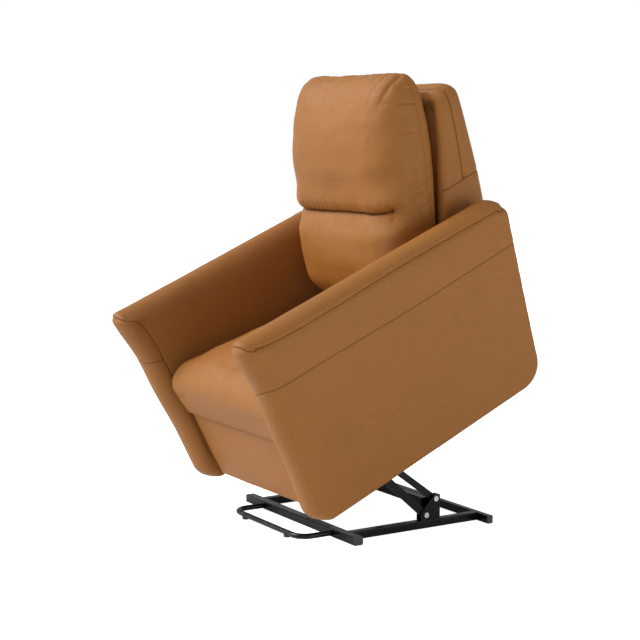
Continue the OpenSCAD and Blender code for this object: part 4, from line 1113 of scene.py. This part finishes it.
def cushion_ring(z):
    """Ring of the back cushion at a height: a rounded rectangle with full front corners."""
    wide, deep = (np.interp(z, BACK_TAPER[:, 0], BACK_TAPER[:, k]) for k in (1, 2))
    front, rear = cushion_front(z), cushion_rear(z)
    half = BACK_HALF * wide * (1 - 0.004 * bell(z - CREASE, 22))
    mid, reach = (front + rear) / 2, (rear - front) / 2
    r, cheek = BACK_CORNER, BACK_CHEEK
    outline = np.concatenate([
        arc((half - r, reach - r), r, 0, 90, 6), arc((r - half, reach - r), r, 90, 180, 6),
        arc((cheek - half, cheek - reach), cheek, 180, 270, 12),
        arc((half - cheek, cheek - reach), cheek, 270, 360, 12),
    ])
    # the front corners reach further across than back
    edge = np.clip((np.abs(outline[:, 0]) - half + cheek) / cheek, 0, 1)
    inward = 25 * (1 - edge) * np.sign(outline[:, 0]) * (edge > 0)
    outline[:, 0] -= np.where(outline[:, 1] < cheek - reach, inward, 0)
    outline = spaced(np.r_[outline, outline[:1]], 9)[:-1]
    at = np.linspace(0, 1, 181)[:-1]
    x, depth = (np.interp(at, np.linspace(0, 1, len(outline)), outline[:, k]) for k in (0, 1))
    # the sides reach back past the uprights, up to the outer back
    flank = smooth((np.abs(x) - 224) / 9) * shell_room(z, 17) * smooth((z - 420) / 120)
    depth = depth * deep + flank * deep * np.clip(depth / (reach - r), 0, 1)
    return np.c_[x, mid + depth, np.full(len(x), z)]


def crease(co, no):
    """Moves of the front at the crease between back and headrest, and the painted shade of the crease at each
    point.
    """
    across = smooth((252 - np.abs(co[:, 0])) / 16) * smooth((-no[:, 1] + 0.1) / 0.5)
    dz = co[:, 2] - (CREASE + 1.5 * np.sin(co[:, 0] / 90))
    move = np.zeros_like(co)
    move[:, 1] = (12 * np.exp(-np.abs(dz) / 5.5) + 2 * np.exp(-np.abs(dz) / 16)) * across
    move[:, 2] -= 2.0 * bell(dz - 12, 9) * across  # the headrest rolls down over the crease
    move[:, 1] -= 3.0 * bell(dz + 24, 18) * across  # the back swells up to it from below
    # painted shade: the crease line is drawn towards the deep leather colour
    return move, 0.85 * bell(dz, 4.0) * across


def crease_gathers(co, no):
    """How far the gathers above and below the crease press the front in."""
    rng = np.random.default_rng(29)
    depth = np.zeros(len(co))
    for side in range(-8, 9):
        x = side * 29 + rng.uniform(-9, 9)
        tall = rng.uniform(26, 66)
        end = (x + rng.uniform(-10, 10), CREASE + tall)
        depth += valley(co, (x, CREASE - 2), end, rng.uniform(1.0, 2.6), rng.uniform(4, 6.5))
        if side % 2:
            end = (x + 12 + rng.uniform(-8, 8), CREASE - 0.7 * tall)
            depth += valley(co, (x + 12, CREASE), end, 1.1, 6.0)
    return depth * smooth((-no[:, 1] - 0.15) / 0.5)


def cushion_tucks(co, no):
    """How far the folds at the crease's ends, below the top seam and on both sides draw the leather in."""
    depth = np.zeros(len(co))
    before = smooth((CREASE_FRONT + 90 - co[:, 1]) / 40)
    for side in (-1, 1):
        for dx, up, deep in CREASE_TUCKS:
            end = (side * (CREASE_HALF + dx), CREASE + up)
            depth += valley(co, (side * CREASE_HALF, CREASE), end, deep, 4.0) * before
    ahead = smooth((cushion_rear(co[:, 2]) - 14 - co[:, 1]) / 14)
    for x, dx, low, deep, wide in TOP_GATHERS:
        end = (x + dx, low + 8)
        depth += valley(co, (x, BACK_TOP + 8), end, deep, wide) * ahead * smooth((co[:, 2] - low + 30) / 40)
    sideways = smooth((np.abs(no[:, 0]) - 0.2) / 0.5)
    for y, z, dy, up, deep in SIDE_FOLDS:
        depth += valley(co, (y, z), (y + dy, z + up), deep, 4.5, (1, 2)) * sideways
    return depth


class RECLINER_OT_back(bpy.types.Operator):
    """Build the back cushion with its headrest, crease, gathers and side gusset"""

    bl_idname = "recliner.back"
    bl_label = "Back cushion"

    def execute(self, context):
        heights = np.unique(np.r_[np.arange(BACK_BOTTOM, BACK_TOP, 8), BACK_TAPER[:, 0], 1008, 1016])
        rings = [cushion_ring(z) for z in heights]
        back = moulded("back_cushion_padding", rings, settings("padding").voxel * 1.1)
        co, no = coords(back), normals(back)
        free = smooth((cushion_rear(co[:, 2]) - 22 - co[:, 1]) / 30) * smooth((co[:, 2] - 372) / 40)
        tied = bell(co[:, 2] - CREASE, 9) * smooth((-no[:, 1] - 0.3) / 0.3)
        set_coords(back, co - no * (2.5 * free)[:, None])
        swell(back, np.clip(1 - free + 0.8 * tied, 0, 1), looser=0.03)
        relax(back, 1)
        divide(back)
        co, no = coords(back), normals(back)
        move, fold = crease(co, no)
        move[:, 1] += crease_gathers(co, no)
        inward = cushion_tucks(co, no) - ripple(co, (60, 190), 5) * 0.75
        # both ends of the crease are tied down to a point
        for side in (-1, 1):
            point = (side * (CREASE_HALF + 2), CREASE_FRONT + 24, CREASE)
            off = np.linalg.norm((co - point) / (1, 1.6, 1), axis=1)
            inward += 4.0 * bell(off, 11)
            # painted shade of the pucker at each tied point
            fold = np.maximum(fold, 0.6 * bell(off, 5))
        co = co + move - no * inward[:, None]
        flank = smooth((np.abs(co[:, 0]) - 223) / 6) * shell_room(co[:, 2], 18)
        co[:, 1] = np.minimum(co[:, 1], cushion_rear(co[:, 2]) - 0.2 + flank)
        co[:, 2] = np.maximum(co[:, 2], BACK_BOTTOM - 3)
        limit = inner_at(co[:, 2]) - 4
        co[:, 0] = np.clip(co[:, 0], -limit, limit)
        set_coords(back, co)
        seams = Seams(back)
        for side in (-1, 1):
            line = [(0, cushion_rear(z) - 16, z) for z in np.arange(392, 986, 4)]
            seams.shot(line, (-side, 0, 0), stitched=False, weight=0.3)
        seams.shot([(x, cushion_rear(1006) - 34 + abs(x) / 9, 0) for x in np.arange(-214, 215, 4)], DOWN)
        seams.press(0.8)
        note(back, "fold", fold)
        stitch_rows("back_cushion_stitching", seams, "back")
        dress(back, "back", "back_cushion")
        return {"FINISHED"}


def shell_ring(z, wall, lip):
    """Ring of the outer back at a height, wall inside its outer side and with its rim lip further forward."""
    rise = max(0, (z - SHELL_TOP + SHELL_ROUND) / SHELL_ROUND)
    shrink = SHELL_ROUND * (1 - math.sqrt(max(0, 1 - rise**2))) * 0.8
    half, front, rear = shell_half(z) - wall - shrink, shell_front(z) - lip, shell_rear(z) - wall - shrink
    r = SHELL_CORNER - wall * 0.7
    corner = np.radians(np.arange(0, 91, 10))
    right = np.c_[half - r + r * np.cos(corner), rear - r + r * np.sin(corner)]
    left = np.c_[-half + r - r * np.sin(corner), rear - r + r * np.cos(corner)]
    tip = 4 if wall else 26
    nose = np.radians(np.arange(0, 91, 15))
    near = np.c_[-half + tip - tip * np.cos(nose), front + tip - tip * np.sin(nose)]
    far = np.c_[half - tip + tip * np.sin(nose), front + tip - tip * np.cos(nose)]
    flat = np.concatenate([right, left, near, far])
    return np.c_[flat, np.full(len(flat), z)]


def shell_tray():
    """The outer back as a block with a pocket cut into its front for the back frame."""
    close = np.r_[np.arange(894, SHELL_TOP - 3, 6), SHELL_TOP - 2.2, SHELL_TOP - 0.2]
    heights = np.r_[np.arange(SHELL_BOTTOM, 890, 14), close]
    pocket_heights = np.r_[np.arange(SHELL_BOTTOM - 8, 880, 20), SHELL_TOP - SHELL_WALL - 12]
    tray = add_object("back_shell_padding", *loft([shell_ring(z, 0, 0) for z in heights]))
    pocket = add_object("pocket", *loft([shell_ring(z, SHELL_WALL, 90) for z in pocket_heights]))
    for piece in (tray, pocket):
        face_out(piece)
    cut = tray.modifiers.new("Pocket", "BOOLEAN")
    cut.object = pocket
    cut.solver = "EXACT"
    settle(tray)
    bpy.data.objects.remove(pocket)
    return tray


def shell_seams(tray):
    """The seams down both sides, round the back at one height and over the top."""
    seams = Seams(tray)
    for side in (-1, 1):
        seams.shot([(0, y, z) for y, z in spaced(SHELL_SIDE_SEAM, 3)], (-side, 0, 0))
        seams.shot([(0, y, SHELL_BAND - 3 + (y - 520) * 0.03) for y in np.arange(524, 650, 3)], (-side, 0, 0))
    seams.shot([(x, 622 + (abs(x) / 262) ** 4 * 4, 0) for x in np.arange(-262, 263, 4)], DOWN)
    seams.shot([(x, 0, SHELL_BAND) for x in np.arange(-286, 287, 4)], FORWARD)
    return seams


class RECLINER_OT_outer_back(bpy.types.Operator):
    """Build the padded outer back, a deep tray round the back frame, with its seams"""

    bl_idname = "recliner.outer_back"
    bl_label = "Outer back"

    def execute(self, context):
        tray = shell_tray()
        even(tray, settings("padding").voxel)
        relax(tray, 5)
        co, no = coords(tray), normals(tray)
        side = np.abs(no[:, 0]) * (np.abs(co[:, 0]) > shell_half(co[:, 2]) - 18)
        outside = smooth(np.maximum(no[:, 1], side) * 1.6 - 0.5)
        edge = np.minimum(co[:, 2] - SHELL_BOTTOM, SHELL_TOP - co[:, 2])
        push(tray, 3.0 * outside * smooth(edge / 120) + ripple(co, (90, 260), 8) * 0.7)
        seams = shell_seams(tray)
        seams.press()
        # the pocket and the inner half of the rim are in the shade of the cushion
        x, y, z = coords(tray).T
        inside = (np.abs(x) < shell_half(z) - 26) & (y > shell_front(z) + 14)
        inside &= (y < shell_rear(z) - 20) & (z < SHELL_TOP - 40)
        rim = smooth((shell_half(z) - 4 - np.abs(x)) / 26) * smooth((shell_front(z) + 34 - y) / 20)
        note(tray, "fold", np.maximum(inside * 0.75, 0.8 * rim * smooth((SHELL_TOP - 16 - z) / 20)))
        stitch_rows("back_shell_stitching", seams, "back")
        dress(tray, "back", "back_shell")
        return {"FINISHED"}


def lining_rows():
    """Rows of points across the gap, up one side, over the top and down the other."""
    # an arch inside the gap: x and z on the cushion, then x and z on the outer back
    arch = [(256, z, shell_half(z) - SHELL_WALL + 14, z) for z in np.arange(380, 866, 12)]
    for t in np.radians(np.arange(0, 91, 7.5)):
        arch.append((224 + 32 * math.cos(t), 864 + 36 * math.sin(t),
                     224 + (shell_half(868) - SHELL_WALL - 210) * math.cos(t), 866 + 44 * math.sin(t)))
    arch += [(x, 900, x, 910) for x in np.linspace(205, 0, 14)]
    right = []
    for x0, z0, x1, z1 in arch:
        wide = smooth((x0 - 205) / 20)
        near, far = cushion_rear(z0) - 4 + 12 * wide, shell_front(z1) + 2
        middle = max(near + 3, cushion_rear(z1) + 3 + 14 * wide)
        right.append([(x0, near, z0), (x0 + 0.4 * (x1 - x0), (near + middle) / 2, (z0 + z1) / 2),
                      (x0 + 0.7 * (x1 - x0), middle, z1), (x1 - 4, (middle + far) / 2, z1), (x1, far, z1)])
    left = [[(-x, y, z) for x, y, z in row] for row in right[-2::-1]]
    return np.array(right + left, float)


def grid_faces(rows, columns):
    """Faces of a sheet whose points run along its rows."""
    return [(i * columns + k, i * columns + k + 1, (i + 1) * columns + k + 1, (i + 1) * columns + k)
            for i in range(rows - 1) for k in range(columns - 1)]


class RECLINER_OT_lining(bpy.types.Operator):
    """Build the leather band that closes the gap between the back cushion and the outer back"""

    bl_idname = "recliner.lining"
    bl_label = "Back lining"

    def execute(self, context):
        rows = lining_rows()
        points = rows.reshape(-1, 3)
        points = points + np.array((0, 0.7, 0)) * ripple(points, (40, 120), 4)[:, None]
        lining = add_object("back_lining", points, grid_faces(*rows.shape[:2]))
        face_out(lining)
        mod = lining.modifiers.new("Thickness", "SOLIDIFY")
        mod.thickness = 0.002
        mod.offset = 0
        settle(lining)
        divide(lining)
        co = coords(lining)
        # painted shade: the whole band is drawn nearly to the deep leather colour, most of all next to the
        # cushion, as a shaded crevice
        note(lining, "fold", 0.95 - 0.25 * smooth((co[:, 1] - cushion_rear(co[:, 2]) - 16) / 26))
        cover(lining, "back", leather())
        return {"FINISHED"}


def panel_rings():
    """Rings of the footrest panel from side to side, pinched at both ends."""
    low, high, front, rear = PANEL_LOW, PANEL_HIGH, PANEL_FRONT, PANEL_REAR
    r, s = PANEL_EDGE, PANEL_REAR_EDGE
    section = np.concatenate([
        arc((front + r, low + r), r, 180, 270, 8), arc((rear - s, low + s), s, 270, 360, 4),
        arc((rear - s, high - s), s, 0, 90, 4), arc((front + r, high - r), r, 90, 180, 8),
        straight((front, high - r), (front, low + r), 180, 16),
    ])
    middle = (low + high) / 2
    rings = []
    for f in np.r_[-1, -0.995, -0.985, -0.97, np.linspace(-0.94, 0.94, 40), 0.97, 0.985, 0.995, 1]:
        end = max(0, (abs(f) - 0.95) / 0.05) ** 2
        y = rear + (section[:, 0] - rear) * (1 - 0.34 * end)
        z = middle + (section[:, 1] - middle) * (1 - 0.05 * end)
        rings.append(np.c_[f * (inner_at(section[:, 1]) - 4), y, z])
    return rings


class RECLINER_OT_footrest(bpy.types.Operator):
    """Build the padded footrest panel that closes the front of the seat box"""

    bl_idname = "recliner.footrest"
    bl_label = "Footrest panel"

    def execute(self, context):
        panel = moulded("footrest_padding", panel_rings(), 0.0045)
        co, no = coords(panel), normals(panel)
        up = smooth((co[:, 2] - PANEL_LOW) / 60) * smooth((PANEL_HIGH - co[:, 2]) / 60)
        crown = smooth((-no[:, 1] - 0.4) / 0.4) * smooth((235 - np.abs(co[:, 0])) / 90) * up
        co = co + no * (3.0 * crown + ripple(co, (70, 220), 21) * 0.5)[:, None]
        co[:, 1] = np.minimum(co[:, 1], PANEL_REAR - 0.2)
        set_coords(panel, co)
        # the cover is closed along the underside and down both sides
        seams = Seams(panel)
        seams.shot([(x, PANEL_REAR - 15, 0) for x in np.arange(-248, 249, 4)], UP)
        for side in (-1, 1):
            line = [(0, PANEL_REAR - 15, z) for z in np.arange(PANEL_LOW + 8, PANEL_HIGH - 7, 4)]
            seams.shot(line, (-side, 0, 0))
        seams.press(0.5)
        stitch_rows("footrest_stitching", seams, "footrest")
        dress(panel, "footrest", "footrest_board")
        return {"FINISHED"}


# ---------------------------------------------------------------- finishes of the frame


class RECLINER_OT_frame_finish(bpy.types.Operator):
    """Give every rigid piece of the frame its paint, metal, wood or plastic"""

    bl_idname = "recliner.frame_finish"
    bl_label = "Frame finishes"

    def execute(self, context):
        s = settings("finish")
        # after each colour: roughness, dust, scratches and unevenness
        finish = {
            "steel_frame": hard("Black paint", s.steel, 0.22, 0.01, 0.05, 0.16, level=0.3, edges=0.0),
            "bolts": hard("Zinc", s.zinc, 0.30, 0.12, 0.25, 0.12, metallic=1.0, scale=90),
            "spring_steel": hard("Spring wire", s.spring, 0.38, 0.2, 0.3, 0.2, metallic=1.0),
            "wooden_frame": boards(),
            "drive_housing": hard("Housing plastic", s.plastic, 0.55, 0.12, 0.15, 0.6, scale=60),
            "piston_rod": hard("Polished rod", s.chrome, 0.13, 0.06, 0.12, 0.05, metallic=1.0),
            "foot_rubber": hard("Rubber", s.rubber, 0.75, 0.4, 0.1, 0.7, level=0.3),
            "plastic_caps": hard("Cap plastic", s.plastic, 0.48, 0.12, 0.2, 0.4),
        }
        slots = {part["node"]: part["material_slot"] for part in frame["record"]["subparts"]}
        for name, node in frame["nodes"].items():
            chosen = finish.get(slots.get(name))
            if chosen is None:
                continue
            if not node.data.materials:
                node.data.materials.append(chosen)
            for slot in node.material_slots:
                slot.material = chosen
        return {"FINISHED"}


# ---------------------------------------------------------------- stage

FLOOR_HALF, FLOOR_LEVEL = 14000, -0.4  # millimetres, just under the feet
CAMERA_LENS = 88.63  # millimetres
CAMERA_PLACE = (3.9041, -2.3653, 1.1652)  # metres
CAMERA_TURN = (82.99, -0.044, 58.11)  # degrees about x, y and z


def lamp(name, kind, place, power, tone=(1, 1, 1), **options):
    """A light that points at the middle of the chair."""
    middle = Vector((0, 0.1, 0.6))
    data = bpy.data.lights.new(name, kind)
    data.energy = power
    data.color = tone
    for key, value in options.items():
        setattr(data, key, value)
    light = bpy.data.objects.new(name, data)
    light.location = place
    light.rotation_euler = (middle - Vector(place)).to_track_quat("-Z", "Y").to_euler()
    bpy.context.scene.collection.objects.link(light)


class RECLINER_OT_stage(bpy.types.Operator):
    """Set the pale floor, the soft studio lights and the camera"""

    bl_idname = "recliner.stage"
    bl_label = "Stage"

    def execute(self, context):
        s = settings("stage")
        scene = context.scene
        across = np.linspace(-FLOOR_HALF, FLOOR_HALF, 9)
        points = [(x, y, FLOOR_LEVEL) for y in across for x in across]
        floor = add_object("floor", points, grid_faces(len(across), len(across)))
        floor.data.materials.append(floor_finish())

        # the room lights evenly from all round, and is plain white where the camera sees it
        world = bpy.data.worlds.new("Studio")
        world.use_nodes = True
        kit = Nodes(world.node_tree)
        seen = kit.add("LightPath").outputs["Is Camera Ray"]
        strength = kit.span(seen, 0.0, 1.0, s.sky, 1.0, smoothly=False)
        light = kit.add("Background", {"Color": (1, 1, 1, 1), "Strength": strength})
        kit.add("OutputWorld", {"Surface": light.outputs[0]})
        scene.world = world

        lamp("main_light", "SUN", (-2.3, -3.0, 3.4), s.key, tone=(1.0, 0.985, 0.96), angle=math.radians(44))
        lamp("side_light", "AREA", (4.0, 1.4, 0.8), s.side, shape="RECTANGLE", size=3.0, size_y=2.0)

        data = bpy.data.cameras.new("camera")
        data.sensor_width = 36
        data.lens = CAMERA_LENS
        camera = bpy.data.objects.new("camera", data)
        camera.location = CAMERA_PLACE
        camera.rotation_euler = Euler([math.radians(angle) for angle in CAMERA_TURN], "XYZ")
        scene.collection.objects.link(camera)
        scene.camera = camera
        scene.view_settings.view_transform = "Standard"
        scene.view_settings.look = "None"
        return {"FINISHED"}


# ---------------------------------------------------------------- panel and registering


OPERATORS = (
    RECLINER_OT_stage, RECLINER_OT_frame_finish, RECLINER_OT_arms, RECLINER_OT_seat, RECLINER_OT_back,
    RECLINER_OT_outer_back, RECLINER_OT_lining, RECLINER_OT_footrest,
)
SETTINGS = {
    "leather": LeatherSettings, "padding": PaddingSettings, "finish": FinishSettings, "stage": StageSettings,
}


class RECLINER_PT_panel(bpy.types.Panel):
    bl_label = "Lift recliner chair"
    bl_idname = "RECLINER_PT_panel"
    bl_space_type = "VIEW_3D"
    bl_region_type = "UI"
    bl_category = "Recliner"

    def draw(self, context):
        for name, kind in SETTINGS.items():
            box = self.layout.box()
            box.label(text=name.capitalize())
            for key in kind.__annotations__:
                box.prop(settings(name), key)
        for operator in OPERATORS:
            self.layout.operator(operator.bl_idname)


CLASSES = (*SETTINGS.values(), *OPERATORS, RECLINER_PT_panel)


def register():
    for kind in CLASSES:
        bpy.utils.register_class(kind)
    for name, kind in SETTINGS.items():
        setattr(bpy.types.Scene, "recliner_" + name, PointerProperty(type=kind))


def unregister():
    for name in SETTINGS:
        delattr(bpy.types.Scene, "recliner_" + name)
    for kind in reversed(CLASSES):
        bpy.utils.unregister_class(kind)


def main():
    register()
    for operator in OPERATORS:
        call = getattr(bpy.ops.recliner, operator.bl_idname.split(".")[1])
        if call() != {"FINISHED"}:
            raise RuntimeError(operator.bl_label + " was not built")


if __name__ == "__main__":
    main()
